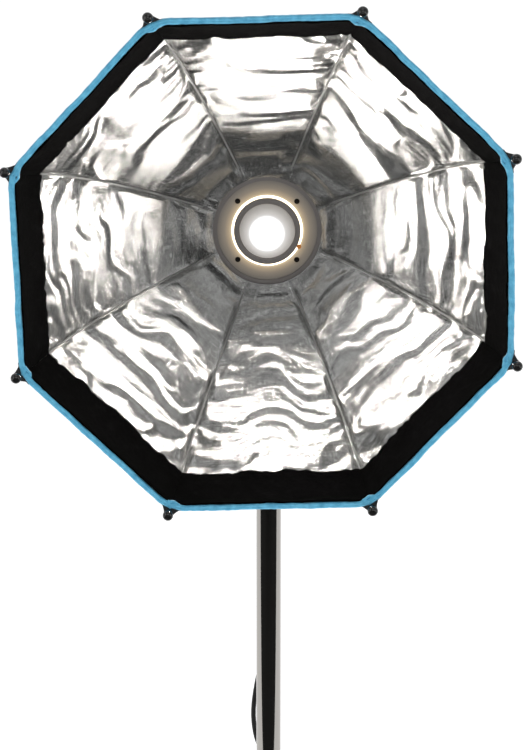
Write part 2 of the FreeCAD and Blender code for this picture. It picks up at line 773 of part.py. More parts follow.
def rounded_route(points):
    """A wire of straight runs joined by tangent arcs, with its arcs' radii."""
    edges, radii = [], []
    start = points[0]
    for before, corner, after in zip(points, points[1:], points[2:]):
        back, ahead = before - corner, after - corner
        turn = math.pi - back.getAngle(ahead)
        setback = 0.45 * min(back.Length, ahead.Length)
        radii.append(setback / math.tan(turn / 2))
        back.normalize()
        ahead.normalize()
        into, out = corner + back * setback, corner + ahead * setback
        bisector = back + ahead
        bisector.normalize()
        centre = corner + bisector * math.hypot(setback, radii[-1])
        crown = centre - bisector * radii[-1]
        edges.append(Part.LineSegment(start, into).toShape())
        edges.append(Part.Arc(into, crown, out).toShape())
        start = out
    edges.append(Part.LineSegment(start, points[-1]).toShape())
    return Part.Wire(edges), radii


def build_lead():
    """The hanging lead, its coil, the strap round coil and riser, and the plug beside it."""
    height = size("axis_height")
    points = [Vector(x, y, height + z) for x, y, z in LEAD_ROUTE]
    path, radii = rounded_route(points)
    radius = size("lead_diameter") / 2
    heading = points[1] - points[0]
    section = Part.Wire(Part.Circle(points[0], heading, radius).toShape())
    tube = path.makePipeShell([section], True, False)
    lead = document.addObject("Part::Feature", "Lead")
    lead.Shape = tube
    keep(lead, "mains_lead")
    expected = math.pi * radius ** 2 * path.Length
    print("lead radii mm:", [round(r) for r in radii])
    print(f"lead length {path.Length:.1f} mm, volume {tube.Volume:.0f} against {expected:.0f} mm3")

    place = at(0, size("coil_behind"), height - size("coil_drop"))
    half = size("coil_width") / 2
    coil = less(cylinder("coil_outer", "coil_width", along_x(-half)),
                cylinder("coil_inner", "coil_width + 2", along_x(-half - 1)))
    keep(softened(coil, 5.0, lambda edge: edge.BoundBox.XLength < 1), "lead_coil", place)

    def belt(radius, tall, z):
        span = 28.0
        return joined(cylinder(radius, tall, at(0, 0, z)), cylinder(radius, tall, at(0, span, z)),
                      block(f"2 * ({radius})", str(span), tall, at(0, span / 2, z)))

    strap = less(belt("column_radius + 2.5", "tie_height", -10), belt("column_radius + 0.5", "tie_height + 2", -11))
    keep(strap, "coil_tie", at(0, 0, height - size("coil_drop")))

    face = block("29", "29", "6", at(0, 0, -44))
    grip = softened(cylinder("12", "26", at(0, 0, -38)), 3.0, lambda edge: edge.BoundBox.ZMin > -13)
    relief = cone("6.5", "4.3", "14", at(0, 0, -14))
    pins = [cylinder("2", "17", at(x, 0, -60)) for x in (-9.5, 9.5)]
    plug_place = at(size("plug_beside"), size("plug_behind"), height - size("coil_drop") - 40)
    keep(joined(face, grip, relief, *pins), "mains_plug", plug_place)


# ---- checks and export ----


def check_and_export():
    """Stop on any failed object or bad solid, then write each sub-part to its own file."""
    document.recompute()
    for thing in document.Objects:
        if {"Invalid", "Error"} & set(thing.State):
            raise RuntimeError(f"{thing.Label} failed: {thing.State}")
    os.makedirs("parts", exist_ok=True)
    for thing in subparts:
        shape = thing.Shape
        if shape.isNull() or not shape.isValid() or not shape.Solids:
            raise RuntimeError(f"{thing.Label} has no valid solid")
        shape.exportStep(f"parts/{thing.Label}.step")
    print(len(subparts), "sub-parts")


def main():
    """Build the softbox from the mount up and write its sub-parts."""
    fill_sheet()
    build_column()
    build_swivel()
    build_case()
    build_controls()
    build_inlet()
    build_front()
    build_inside()
    build_speed_ring()
    for number in range(1, RIB_COUNT + 1):
        build_rib(number)
        build_rib_tip(number)
        build_panel(number)
    build_lead()
    check_and_export()


main()
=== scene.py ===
"""Looks of a folding octagonal softbox on its lamp head, tilt swivel and riser column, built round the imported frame.

Optical frame used for the softbox: x to the right, y up and z forward of the speed ring's plane, seen from the front.
"""

import logging
import math
from dataclasses import dataclass, field
from enum import Enum
from typing import Callable, Sequence

import bpy
import numpy as np
from mathutils import Matrix, Vector


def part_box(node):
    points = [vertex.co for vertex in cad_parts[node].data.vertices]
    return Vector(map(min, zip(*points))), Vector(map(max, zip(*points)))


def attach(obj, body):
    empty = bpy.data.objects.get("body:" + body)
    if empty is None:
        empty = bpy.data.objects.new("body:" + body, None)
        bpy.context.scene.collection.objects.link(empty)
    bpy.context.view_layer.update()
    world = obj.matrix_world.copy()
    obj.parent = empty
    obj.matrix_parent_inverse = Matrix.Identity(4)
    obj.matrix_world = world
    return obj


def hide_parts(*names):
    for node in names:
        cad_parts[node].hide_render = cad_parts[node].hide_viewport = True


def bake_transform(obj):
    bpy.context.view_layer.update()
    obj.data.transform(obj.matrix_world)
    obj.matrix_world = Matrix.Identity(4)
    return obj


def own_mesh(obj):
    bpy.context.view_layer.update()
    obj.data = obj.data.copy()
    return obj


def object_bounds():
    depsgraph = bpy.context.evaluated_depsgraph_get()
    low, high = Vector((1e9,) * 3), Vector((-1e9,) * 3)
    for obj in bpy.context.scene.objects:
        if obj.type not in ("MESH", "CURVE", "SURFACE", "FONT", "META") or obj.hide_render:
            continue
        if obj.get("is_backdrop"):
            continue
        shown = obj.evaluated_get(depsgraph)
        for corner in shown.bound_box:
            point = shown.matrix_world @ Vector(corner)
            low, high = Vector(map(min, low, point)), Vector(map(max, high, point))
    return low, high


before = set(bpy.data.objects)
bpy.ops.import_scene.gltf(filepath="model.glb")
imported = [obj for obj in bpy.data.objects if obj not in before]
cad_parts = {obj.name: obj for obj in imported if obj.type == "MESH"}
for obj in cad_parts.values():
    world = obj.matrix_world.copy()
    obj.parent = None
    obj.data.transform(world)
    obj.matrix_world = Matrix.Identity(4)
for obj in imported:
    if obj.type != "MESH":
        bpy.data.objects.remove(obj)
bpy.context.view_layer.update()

logging.basicConfig(level=logging.INFO, format="%(message)s")
log = logging.getLogger("softbox")

RIB_COUNT = 8
HALF_SECTOR = math.radians(180.0 / RIB_COUNT)
MM = 0.001


class Coat(Enum):
    """Which pattern a finish carries."""

    PLAIN = "plain"
    WOVEN = "woven"
    SILVER = "silver"
    LOOPED = "looped"
    SATIN_TAPE = "satin tape"
    MOULDED = "moulded"
    CAST = "cast"
    TURNED = "turned"
    BRUSHED = "brushed"
    CHROME = "chrome"
    RUBBER = "rubber"
    GLOW = "glow"
    CORE = "core"


@dataclass(frozen=True)
class Finish:
    """One surface finish: its colour, its gloss and the pattern that its nodes draw."""

    name: str
    colour: tuple[float, float, float]
    rough: float = 0.5
    metal: float = 0.0
    coat: Coat = Coat.PLAIN
    scale: float = 400.0
    bump: float = 0.2
    second: tuple[float, float, float] | None = None
    sheen: float = 0.0
    clear: float = 0.0
    glow: float = 0.0
    glow_colour: tuple[float, float, float] = (1.0, 1.0, 1.0)
    shine: float = 0.5


SILVER_CLOTH = Finish("silver_cloth", (0.62, 0.62, 0.61), 0.24, 0.97, Coat.SILVER, 1.0, 0.35)
SHELL_CLOTH = Finish("shell_cloth", (0.012, 0.012, 0.013), 0.62, 0.0, Coat.WOVEN, 900.0, 0.35, sheen=0.35)
WEBBING = Finish("webbing", (0.014, 0.014, 0.015), 0.75, 0.0, Coat.WOVEN, 420.0, 0.6, sheen=0.3)
LOOP_TAPE = Finish("loop_tape", (0.0035, 0.0035, 0.0035), 1.0, 0.0, Coat.LOOPED, 900.0, 0.9, shine=0.05)
BLUE_TAPE = Finish("blue_tape", (0.07, 0.42, 0.70), 0.36, 0.0, Coat.SATIN_TAPE, 700.0, 0.35, (0.16, 0.60, 0.86), 0.3)
THREAD = Finish("thread", (0.02, 0.02, 0.021), 0.8, 0.0, Coat.RUBBER, 1500.0, 0.4)
SEAM_THREAD = Finish("seam_thread", (0.30, 0.30, 0.29), 0.6, 0.2, Coat.RUBBER, 1500.0, 0.4)
GLOSS_BLACK = Finish("gloss_black", (0.012, 0.012, 0.012), 0.16, 0.0, Coat.MOULDED, 160.0, 0.04, clear=0.5)
MOULDED_BLACK = Finish("moulded_black", (0.022, 0.022, 0.024), 0.48, 0.0, Coat.MOULDED, 900.0, 0.25)
DIAL_GREY = Finish("dial_grey", (0.16, 0.16, 0.165), 0.42, 0.0, Coat.MOULDED, 700.0, 0.2)
CASE_PAINT = Finish("case_paint", (0.045, 0.047, 0.05), 0.42, 0.35, Coat.CAST, 650.0, 0.35)
CASTING = Finish("casting", (0.02, 0.02, 0.022), 0.45, 0.2, Coat.CAST, 420.0, 0.5)
# Painted light: the plate's emission glow stands in for the lamp's light falling on it round the dome.
PLATE_METAL = Finish("plate_metal", (0.34, 0.31, 0.275), 0.5, 0.15, Coat.GLOW, 120.0, 0.1, glow=1.0,
                     glow_colour=(1.0, 0.80, 0.50))
DARK_RING = Finish("dark_ring", (0.27, 0.25, 0.24), 0.45, 0.15, Coat.TURNED, 700.0, 0.12)
STEEL = Finish("steel", (0.55, 0.55, 0.56), 0.26, 1.0, Coat.BRUSHED, 300.0, 0.08)
BLACK_STEEL = Finish("black_steel", (0.03, 0.026, 0.024), 0.4, 0.7, Coat.BRUSHED, 300.0, 0.1)
CHROME = Finish("chrome", (0.37, 0.355, 0.335), 0.045, 1.0, Coat.CHROME, 40.0, 0.03)
RUBBER = Finish("rubber", (0.014, 0.014, 0.014), 0.62, 0.0, Coat.RUBBER, 700.0, 0.2)
FROST = Finish("frost", (0.55, 0.53, 0.51), 0.5, 0.0, Coat.CORE, 500.0, 0.08, glow=1.0,
               glow_colour=(1.0, 0.97, 0.94))
GLASS = Finish("glass", (0.80, 0.79, 0.77), 0.25, 0.0, Coat.MOULDED, 500.0, 0.05, glow=0.3)
WARM_GAP = Finish("warm_gap", (1.0, 0.9, 0.7), 0.6, 0.0, Coat.PLAIN, glow=3.2, glow_colour=(1.0, 0.86, 0.62))
# Painted light: the emission gives the test button and the sensor window a faint orange glow, standing in for light
# through the amber plastic.
AMBER = Finish("amber", (0.42, 0.13, 0.03), 0.25, 0.0, Coat.MOULDED, 400.0, 0.05, clear=0.6, glow=0.25,
               glow_colour=(1.0, 0.4, 0.1))
ROCKER_RED = Finish("rocker_red", (0.30, 0.012, 0.01), 0.3, 0.0, Coat.MOULDED, 500.0, 0.05, clear=0.4)
MARKING = Finish("marking", (0.75, 0.75, 0.74), 0.5, 0.0, Coat.MOULDED, 600.0, 0.05)
CERAMIC = Finish("ceramic", (0.72, 0.69, 0.63), 0.55, 0.0, Coat.CAST, 300.0, 0.1)
SLEEVE_BLUE = Finish("sleeve_blue", (0.02, 0.05, 0.18), 0.35, 0.0, Coat.MOULDED, 300.0, 0.05)
BOARD_GREEN = Finish("board_green", (0.02, 0.12, 0.05), 0.4, 0.0, Coat.CAST, 300.0, 0.1)


class Palette:
    """Makes each finish's material once and hands it out."""

    def __init__(self) -> None:
        """Start with no materials made."""
        self.made: dict[str, bpy.types.Material] = {}

    def get(self, finish: Finish) -> bpy.types.Material:
        """The material of a finish.

        Args:
            finish: what to make.

        Returns:
            The material, made on first use.
        """
        if finish.name not in self.made:
            self.made[finish.name] = NodeBench(finish).material
        return self.made[finish.name]

    def dress(self, piece: bpy.types.Object, finish: Finish) -> bpy.types.Object:
        """Put one finish all over a piece.

        Args:
            piece: a mesh or curve object.
            finish: its finish.

        Returns:
            The same piece.
        """
        piece.data.materials.clear()
        piece.data.materials.append(self.get(finish))
        return piece


class NodeBench:
    """Builds one material's nodes."""

    def __init__(self, finish: Finish) -> None:
        """Make the material and draw its pattern.

        Args:
            finish: the finish to build.
        """
        self.material = bpy.data.materials.new(finish.name)
        self.material.use_nodes = True
        self.tree = self.material.node_tree
        self.shader = self.tree.nodes["Principled BSDF"]
        self.finish = finish
        values = {
            "Base Color": (*finish.colour, 1.0),
            "Roughness": finish.rough,
            "Metallic": finish.metal,
            "Sheen Weight": finish.sheen,
            "Coat Weight": finish.clear,
            "Specular IOR Level": finish.shine,
            "Coat Roughness": 0.08,
            "Emission Strength": finish.glow,
            "Emission Color": (*finish.glow_colour, 1.0),
        }
        for socket, value in values.items():
            self.shader.inputs[socket].default_value = value
        getattr(self, "draw_" + finish.coat.name.lower())()

    def node(self, kind: str, **settings: object) -> bpy.types.Node:
        """Add a node.

        Args:
            kind: the node's type without its ShaderNode prefix.
            settings: properties, or input values by their names with spaces as underscores.

        Returns:
            The node.
        """
        made = self.tree.nodes.new("ShaderNode" + kind)
        for key, value in settings.items():
            if hasattr(made, key):
                setattr(made, key, value)
            else:
                made.inputs[key.replace("_", " ")].default_value = value
        return made

    def join(self, source: bpy.types.NodeSocket, target: bpy.types.NodeSocket) -> None:
        """Link two sockets."""
        self.tree.links.new(source, target)

    def place(self, by_uv: bool, scale: Sequence[float]) -> bpy.types.NodeSocket:
        """Coordinates for a pattern.

        Args:
            by_uv: whether they follow the surface's own UV map, or the object.
            scale: repeats along each axis.

        Returns:
            The vector socket.
        """
        coordinates = self.node("TexCoord")
        mapping = self.node("Mapping")
        mapping.inputs["Scale"].default_value = scale
        self.join(coordinates.outputs["UV" if by_uv else "Object"], mapping.inputs["Vector"])
        return mapping.outputs["Vector"]

    def noise(self, by_uv: bool, scale: Sequence[float], detail: float = 3.0) -> bpy.types.NodeSocket:
        """A noise pattern.

        Args:
            by_uv: whether it follows the UV map.
            scale: repeats along each axis.
            detail: its octaves.

        Returns:
            The noise's value.
        """
        texture = self.node("TexNoise", Scale=1.0, Detail=detail)
        self.join(self.place(by_uv, scale), texture.inputs["Vector"])
        return texture.outputs["Fac"]

    def weave(self, scale: Sequence[float]) -> bpy.types.NodeSocket:
        """Warp and weft as two crossed bands on the UV map.

        Args:
            scale: threads along u and v.

        Returns:
            The weave's height.
        """
        total = None
        for direction in ("X", "Y"):
            band = self.node("TexWave", bands_direction=direction, Scale=1.0, Distortion=0.6, Detail=1.0)
            self.join(self.place(True, scale), band.inputs["Vector"])
            total = band.outputs["Fac"] if total is None else self.math("MULTIPLY", total, band.outputs["Fac"])
        return total

    def math(self, operation: str, first: object, second: object) -> bpy.types.NodeSocket:
        """Combine two values, each a socket or a number."""
        made = self.node("Math", operation=operation)
        for slot, value in enumerate((first, second)):
            if isinstance(value, (int, float)):
                made.inputs[slot].default_value = value
            else:
                self.join(value, made.inputs[slot])
        return made.outputs[0]

    def ramp(self, value: bpy.types.NodeSocket, stops: Sequence[tuple[float, tuple]]) -> bpy.types.NodeSocket:
        """Turn a value into colours.

        Args:
            value: the socket to read.
            stops: (position, colour) pairs.

        Returns:
            The colour socket.
        """
        made = self.node("ValToRGB")
        elements = made.color_ramp.elements
        while len(elements) < len(stops):
            elements.new(0.5)
        for element, (position, colour) in zip(elements, stops):
            element.position = position
            element.color = (*colour, 1.0)
        self.join(value, made.inputs[0])
        return made.outputs[0]

    def relief(self, height: bpy.types.NodeSocket, distance: float) -> None:
        """Send a height to the shader's normal."""
        bump = self.node("Bump", Strength=min(1.0, self.finish.bump), Distance=distance)
        self.join(height, bump.inputs["Height"])
        self.join(bump.outputs[0], self.shader.inputs["Normal"])

    def tint(self, value: bpy.types.NodeSocket, low: float, high: float) -> None:
        """Vary the base colour between two brightnesses, or towards the second colour.

        Args:
            value: what drives it.
            low: brightness at 0.
            high: brightness at 1.
        """
        colour = self.finish.colour
        other = self.finish.second or colour
        stops = [(0.3, tuple(c * low for c in colour)), (0.7, tuple(min(1.0, c * high) for c in other))]
        self.join(self.ramp(value, stops), self.shader.inputs["Base Color"])

    def gloss(self, value: bpy.types.NodeSocket, low: float, high: float) -> None:
        """Vary the roughness between two values."""
        span = self.node("MapRange")
        span.inputs["To Min"].default_value = low
        span.inputs["To Max"].default_value = high
        self.join(value, span.inputs["Value"])
        self.join(span.outputs[0], self.shader.inputs["Roughness"])

    def draw_plain(self) -> None:
        """A plain glowing surface, faintly uneven."""
        self.gloss(self.noise(False, (30, 30, 30)), self.finish.rough * 0.8, self.finish.rough)

    def draw_woven(self) -> None:
        """A close weave with faint dust and wear."""
        scale = self.finish.scale
        self.relief(self.weave((scale * 0.2, scale * 0.32, 1)), 0.0003)
        self.tint(self.noise(False, (9, 9, 9), 5.0), 0.75, 1.5)
        self.gloss(self.noise(False, (40, 40, 40)), self.finish.rough - 0.08, self.finish.rough + 0.1)

    def draw_silver(self) -> None:
        """Metallised ripstop: fine crossed threads that streak the shine along warp and weft."""
        warp = self.noise(True, (230, 14, 1), 4.0)
        weft = self.noise(True, (10, 330, 1), 4.0)
        crossed = self.math("ADD", warp, weft)
        grid = self.weave((120, 170, 1))
        self.relief(self.math("ADD", crossed, self.math("MULTIPLY", grid, 0.5)), 0.00055)
        self.gloss(self.math("MULTIPLY", crossed, 0.5), 0.17, 0.34)
        self.tint(self.math("MULTIPLY", crossed, 0.5), 0.72, 1.12)

    def draw_looped(self) -> None:
        """The looped pile of a hook-and-loop strip."""
        pile = self.noise(False, (self.finish.scale,) * 3, 4.0)
        self.relief(pile, 0.0012)
        self.tint(self.math("MULTIPLY", pile, self.noise(False, (60, 60, 60), 2.0)), 0.35, 3.2)

    def draw_satin_tape(self) -> None:
        """Satin binding tape: long floats across it and a soft change of shade."""
        ribs = self.noise(True, (self.finish.scale, 6, 1), 2.0)
        self.relief(ribs, 0.00025)
        self.tint(self.noise(True, (26, 1.6, 1), 3.0), 0.92, 1.05)
        self.gloss(ribs, 0.34, 0.52)

    def draw_moulded(self) -> None:
        """Moulded plastic with a fine spark texture."""
        grain = self.noise(False, (self.finish.scale,) * 3, 2.0)
        self.relief(grain, 0.0002)
        self.gloss(self.noise(False, (60, 60, 60)), self.finish.rough * 0.85, self.finish.rough * 1.15)
        self.tint(grain, 0.85, 1.15)

    def draw_cast(self) -> None:
        """Powder coat or a cast skin: rounded grain and slight wear."""
        self.relief(self.noise(False, (self.finish.scale,) * 3, 4.0), 0.0004)
        self.gloss(self.noise(False, (35, 35, 35), 5.0), self.finish.rough - 0.1, self.finish.rough + 0.14)
        self.tint(self.noise(False, (22, 22, 22), 5.0), 0.8, 1.25)

    def draw_turned(self) -> None:
        """Lathe marks round the optical axis."""
        marks = self.lathe_marks()
        self.relief(marks, 0.00012)
        self.gloss(marks, self.finish.rough - 0.08, self.finish.rough + 0.1)

    def lathe_marks(self) -> bpy.types.NodeSocket:
        """Fine rings round the optical axis, read from the distance to it."""
        texture = self.node("TexNoise", Scale=self.finish.scale, Detail=2.0)
        texture.noise_dimensions = "1D"
        self.join(self.axis_distance(), texture.inputs["W"])
        return texture.outputs["Fac"]

    def axis_distance(self) -> bpy.types.NodeSocket:
        """Distance from the optical axis, in metres."""
        coordinates = self.node("TexCoord")
        split = self.node("SeparateXYZ")
        self.join(coordinates.outputs["Object"], split.inputs[0])
        up = self.math("SUBTRACT", split.outputs["Z"], OPTICS.height)
        squares = self.math("ADD", self.math("POWER", split.outputs["X"], 2.0), self.math("POWER", up, 2.0))
        return self.math("SQRT", squares, 0.0)

    def draw_brushed(self) -> None:
        """Fine brushing."""
        streaks = self.noise(False, (self.finish.scale * 4, self.finish.scale * 4, self.finish.scale * 0.1), 3.0)
        self.relief(streaks, 0.0001)
        self.gloss(streaks, self.finish.rough - 0.08, self.finish.rough + 0.12)

    def draw_chrome(self) -> None:
        """Polished chrome with the faint draw lines of a tube."""
        lines = self.noise(False, (self.finish.scale * 18, self.finish.scale * 18, 0.6), 3.0)
        self.relief(lines, 0.00005)
        self.gloss(self.noise(False, (160, 160, 3.0), 4.0), 0.03, 0.10)

    def draw_rubber(self) -> None:
        """Soft rubber or thread with a dull bloom."""
        self.relief(self.noise(False, (self.finish.scale,) * 3, 3.0), 0.0003)
        self.tint(self.noise(False, (30, 30, 30), 4.0), 0.8, 1.5)

    def glow_by_radius(self, inner: float, outer: float, stops: Sequence[tuple[float, tuple]]) -> None:
        """Colour the glow by the distance from the optical axis.

        Args:
            inner: where the stops start, in metres.
            outer: where they end.
            stops: (position, colour) pairs.
        """
        fade = self.node("MapRange")
        for key, value in (("From Min", inner), ("From Max", outer), ("To Min", 0.0), ("To Max", 1.0)):
            fade.inputs[key].default_value = value
        self.join(self.axis_distance(), fade.inputs["Value"])
        self.join(self.ramp(fade.outputs[0], stops), self.shader.inputs["Emission Color"])

    def draw_glow(self) -> None:
        """Painted light on a metal plate: an emission glow, bright at the gap round the dome and fading outwards,
        stands in for the light that falls on it.
        """
        near = OPTICS.dome_ring_radius
        # painted light: warm emission at the dome's ring, dimming to near black towards the plate's rim
        stops = [(0.0, (0.9, 0.86, 0.72)), (0.12, (0.66, 0.54, 0.34)), (0.30, (0.30, 0.22, 0.125)),
                 (0.60, (0.10, 0.077, 0.05)), (1.0, (0.012, 0.010, 0.008))]
        self.glow_by_radius(near, near + 21.0 * MM, stops)
        self.relief(self.noise(False, (500, 500, 500), 3.0), 0.0001)
        self.gloss(self.noise(False, (45, 45, 45), 4.0), 0.42, 0.6)

    def draw_core(self) -> None:
        """Frosted glass with the lamp's hot middle showing through."""
        reach = OPTICS.dome_ring_radius * 0.84
        stops = [(0.0, (1.0, 1.0, 1.0)), (0.60, (1.0, 1.0, 1.0)), (0.66, (0.50, 0.485, 0.47)),
                 (0.85, (0.30, 0.285, 0.265)), (1.0, (0.22, 0.205, 0.19))]
        self.glow_by_radius(0.0, reach, stops)
        self.relief(self.noise(False, (500, 500, 500), 3.0), 0.0001)


@dataclass(frozen=True)
class Optics:
    """The optical frame, found from the frame's own nodes, and the softbox's bow, given as numbers."""

    height: float
    ring_plane: float
    dome_ring_radius: float
    bow_centre: float = -66.0 * MM
    bow_radius: float = 405.0 * MM
    bow_forward: float = 378.0 * MM
    start_angle: float = math.radians(68.75)
    end_angle: float = math.radians(15.4)
    clocking: float = math.radians(1.7)

    def rib_azimuth(self, number: int) -> float:
        """Direction of a rib round the axis, counted from 1."""
        return HALF_SECTOR * (2 * number - 1) + self.clocking

    def gore_azimuth(self, number: int) -> float:
        """Direction of the middle of a gore, between a rib and the next."""
        return self.rib_azimuth(number) + HALF_SECTOR

    def matrix(self, azimuth: float = 0.0) -> Matrix:
        """From the optical frame, turned about its axis, to the part's frame.

        Args:
            azimuth: the turn about the axis.

        Returns:
            The 4x4 matrix.
        """
        upright = Matrix.Translation((0, self.ring_plane, self.height)) @ Matrix.Rotation(math.pi / 2, 4, "X")
        return upright @ Matrix.Rotation(azimuth, 4, "Z")

    def tangent(self, azimuth: float) -> Vector:
        """The direction across a gore at an azimuth, in the part's frame."""
        return self.matrix(azimuth).to_3x3() @ Vector((0, 1, 0))

    def bow(self, share: np.ndarray | float, offset: np.ndarray | float = 0.0) -> tuple[np.ndarray, np.ndarray]:
        """A point of a rib's bow.

        Args:
            share: 0 at the speed ring, 1 at the front edge.
            offset: distance outside the bow.

        Returns:
            Its radial and forward places.
        """
        angle = self.start_angle + (self.end_angle - self.start_angle) * share
        radius = self.bow_radius + offset
        return self.bow_centre + radius * np.cos(angle), self.bow_forward - radius * np.sin(angle)

    @property
    def bow_length(self) -> float:
        """Length of the bow from ring to front edge."""
        return self.bow_radius * (self.start_angle - self.end_angle)


def read_optics() -> Optics:
    """Find the optical axis and the ring's plane from the front plate and the dome's ring."""
    low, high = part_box("front_plate")
    ring_low, ring_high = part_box("dome_ring")
    return Optics((low.z + high.z) / 2, high.y - 0.2 * MM, (ring_high.x - ring_low.x) / 2)


OPTICS = read_optics()
PALETTE = Palette()


class Bench:
    """Modelling operations on one piece at a time."""

    @staticmethod
    def clear() -> None:
        """Leave edit mode and deselect everything."""
        if bpy.context.object and bpy.context.object.mode != "OBJECT":
            bpy.ops.object.mode_set(mode="OBJECT")
        bpy.ops.object.select_all(action="DESELECT")

    @staticmethod
    def take(piece: bpy.types.Object) -> bpy.types.Object:
        """Make a piece the only one selected."""
        Bench.clear()
        piece.select_set(True)
        bpy.context.view_layer.objects.active = piece
        return piece

    @staticmethod
    def named(name: str) -> bpy.types.Object:
        """Name the object that was just added."""
        piece = bpy.context.object
        piece.name = name
        piece.data.name = name
        return piece

    @staticmethod
    def grid(name: str, columns: int, rows: int) -> bpy.types.Object:
        """A flat grid from -1 to 1 with its UV map.

        Args:
            name: the piece's name.
            columns: faces across.
            rows: faces along.

        Returns:
            The grid.
        """
        Bench.clear()
        bpy.ops.mesh.primitive_grid_add(x_subdivisions=columns, y_subdivisions=rows, size=2.0)
        return Bench.named(name)

    @staticmethod
    def mapped(piece: bpy.types.Object, place: Callable[[np.ndarray, np.ndarray], np.ndarray]) -> bpy.types.Object:
        """Move a grid's points by a formula of their place across and along.

        Args:
            piece: a grid.
            place: takes the two coordinates, each from -1 to 1, and gives points.

        Returns:
            The same piece.
        """
        points = np.empty(len(piece.data.vertices) * 3)
        piece.data.vertices.foreach_get("co", points)
        points = points.reshape(-1, 3)
        moved = place(points[:, 0], points[:, 1])
        piece.data.vertices.foreach_set("co", moved.ravel())
        piece.data.update()
        return piece

    @staticmethod
    def turned(name: str, profile: Sequence[tuple[float, float]], place: Matrix, steps: int = 64,
               soften: float = 0.0, hollow: bool = False) -> bpy.types.Object:
        """A turned piece: a circle drawn out ring by ring along its axis.

        Args:
            name: the piece's name.
            profile: (radius, height) of each ring, from the foot up.
            place: where its axis stands.
            steps: sides of the circle.
            soften: width of the bevel on its sharp edges.
            hollow: whether its ends meet each other, as on a ring, and so aren't filled.

        Returns:
            The piece.
        """
        Bench.clear()
        radius, height = profile[0]
        bpy.ops.mesh.primitive_circle_add(vertices=steps, radius=radius, location=(0, 0, height), fill_type="NOTHING")
        piece = Bench.named(name)
        bpy.ops.object.transform_apply(location=True, rotation=True, scale=True)
        bpy.ops.object.mode_set(mode="EDIT")
        bpy.ops.mesh.select_all(action="SELECT")
        if not hollow:
            bpy.ops.mesh.edge_face_add()
        for next_radius, next_height in list(profile[1:]) + ([profile[0]] if hollow else []):
            bpy.ops.mesh.extrude_region_move(TRANSFORM_OT_translate={"value": (0, 0, next_height - height)})
            ratio = next_radius / radius
            bpy.ops.transform.resize(value=(ratio, ratio, 1), center_override=(0, 0, next_height))
            radius, height = next_radius, next_height
        bpy.ops.mesh.select_all(action="SELECT")
        bpy.ops.mesh.remove_doubles(threshold=1e-6)
        bpy.ops.mesh.normals_make_consistent(inside=False)
        bpy.ops.object.mode_set(mode="OBJECT")
        piece.data.transform(place)
        return Bench.softened(piece, soften)

    @staticmethod
    def block(name: str, size: Sequence[float], place: Matrix, soften: float = 0.0,
              segments: int = 3) -> bpy.types.Object:
        """A block with rounded edges.

        Args:
            name: the piece's name.
            size: its three sides.
            place: its middle and turn.
            soften: radius of its edges.
            segments: faces round each edge.

        Returns:
            The piece.
        """
        Bench.clear()
        bpy.ops.mesh.primitive_cube_add(size=1.0)
        piece = Bench.named(name)
        piece.data.transform(place @ Matrix.Diagonal((*size, 1.0)))
        return Bench.softened(piece, soften, segments)

    @staticmethod
    def softened(piece: bpy.types.Object, width: float, segments: int = 2) -> bpy.types.Object:
        """Bevel a piece's sharp edges and smooth it.

        Args:
            piece: what to soften.
            width: the bevel's width, or 0 for none.
            segments: faces across the bevel.

        Returns:
            The same piece.
        """
        if width:
            bevel = piece.modifiers.new("soft_edges", "BEVEL")
            bevel.width = width
            bevel.segments = segments
            bevel.limit_method = "ANGLE"
            bevel.angle_limit = math.radians(40)
            Bench.apply(piece)
        Bench.take(piece)
        bpy.ops.object.shade_smooth_by_angle(angle=math.radians(40))
        return piece

    @staticmethod
    def apply(piece: bpy.types.Object) -> bpy.types.Object:
        """Apply all of a piece's modifiers."""
        Bench.take(piece)
        for modifier in list(piece.modifiers):
            bpy.ops.object.modifier_apply(modifier=modifier.name)
        return piece

    @staticmethod
    def joined(name: str, pieces: Sequence[bpy.types.Object]) -> bpy.types.Object:
        """Join pieces into the first one.

        Args:
            name: the new name.
            pieces: the pieces.

        Returns:
            The joined piece.
        """
        Bench.take(pieces[0])
        for piece in pieces:
            piece.select_set(True)
        if len(pieces) > 1:
            bpy.ops.object.join()
        return Bench.named(name)

    @staticmethod
    def swept(name: str, points: Sequence[Vector], radius: float, squash: float = 1.0,
              closed: bool = False, sides: int = 3) -> bpy.types.Object:
        """A round cord along a smooth line, as a mesh.

        Args:
            name: the piece's name.
            points: control points of a NURBS line.
            radius: the cord's radius.
            squash: its height as a share of its width; not used.
            closed: whether its ends meet.
            sides: resolution of its section.

        Returns:
            The mesh piece.
        """
        curve = bpy.data.curves.new(name, "CURVE")
        curve.dimensions = "3D"
        spline = curve.splines.new("NURBS")
        spline.points.add(len(points) - 1)
        for target, point in zip(spline.points, points):
            target.co = (*point, 1.0)
        spline.use_endpoint_u = not closed
        spline.use_cyclic_u = closed
        spline.order_u = 3
        curve.bevel_depth = radius
        curve.bevel_resolution = sides
        curve.use_fill_caps = not closed
        piece = bpy.data.objects.new(name, curve)
        bpy.context.scene.collection.objects.link(piece)
        Bench.take(piece)
        bpy.ops.object.convert(target="MESH")
        piece = Bench.named(name)
        bpy.ops.object.shade_smooth()
        return piece


def ridden(piece: bpy.types.Object, body: str, finish: Finish) -> bpy.types.Object:
    """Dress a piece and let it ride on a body.

    Args:
        piece: the piece.
        body: the body that it moves with.
        finish: its finish.

    Returns:
        The same piece.
    """
    PALETTE.dress(piece, finish)
    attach(piece, body)
    return piece


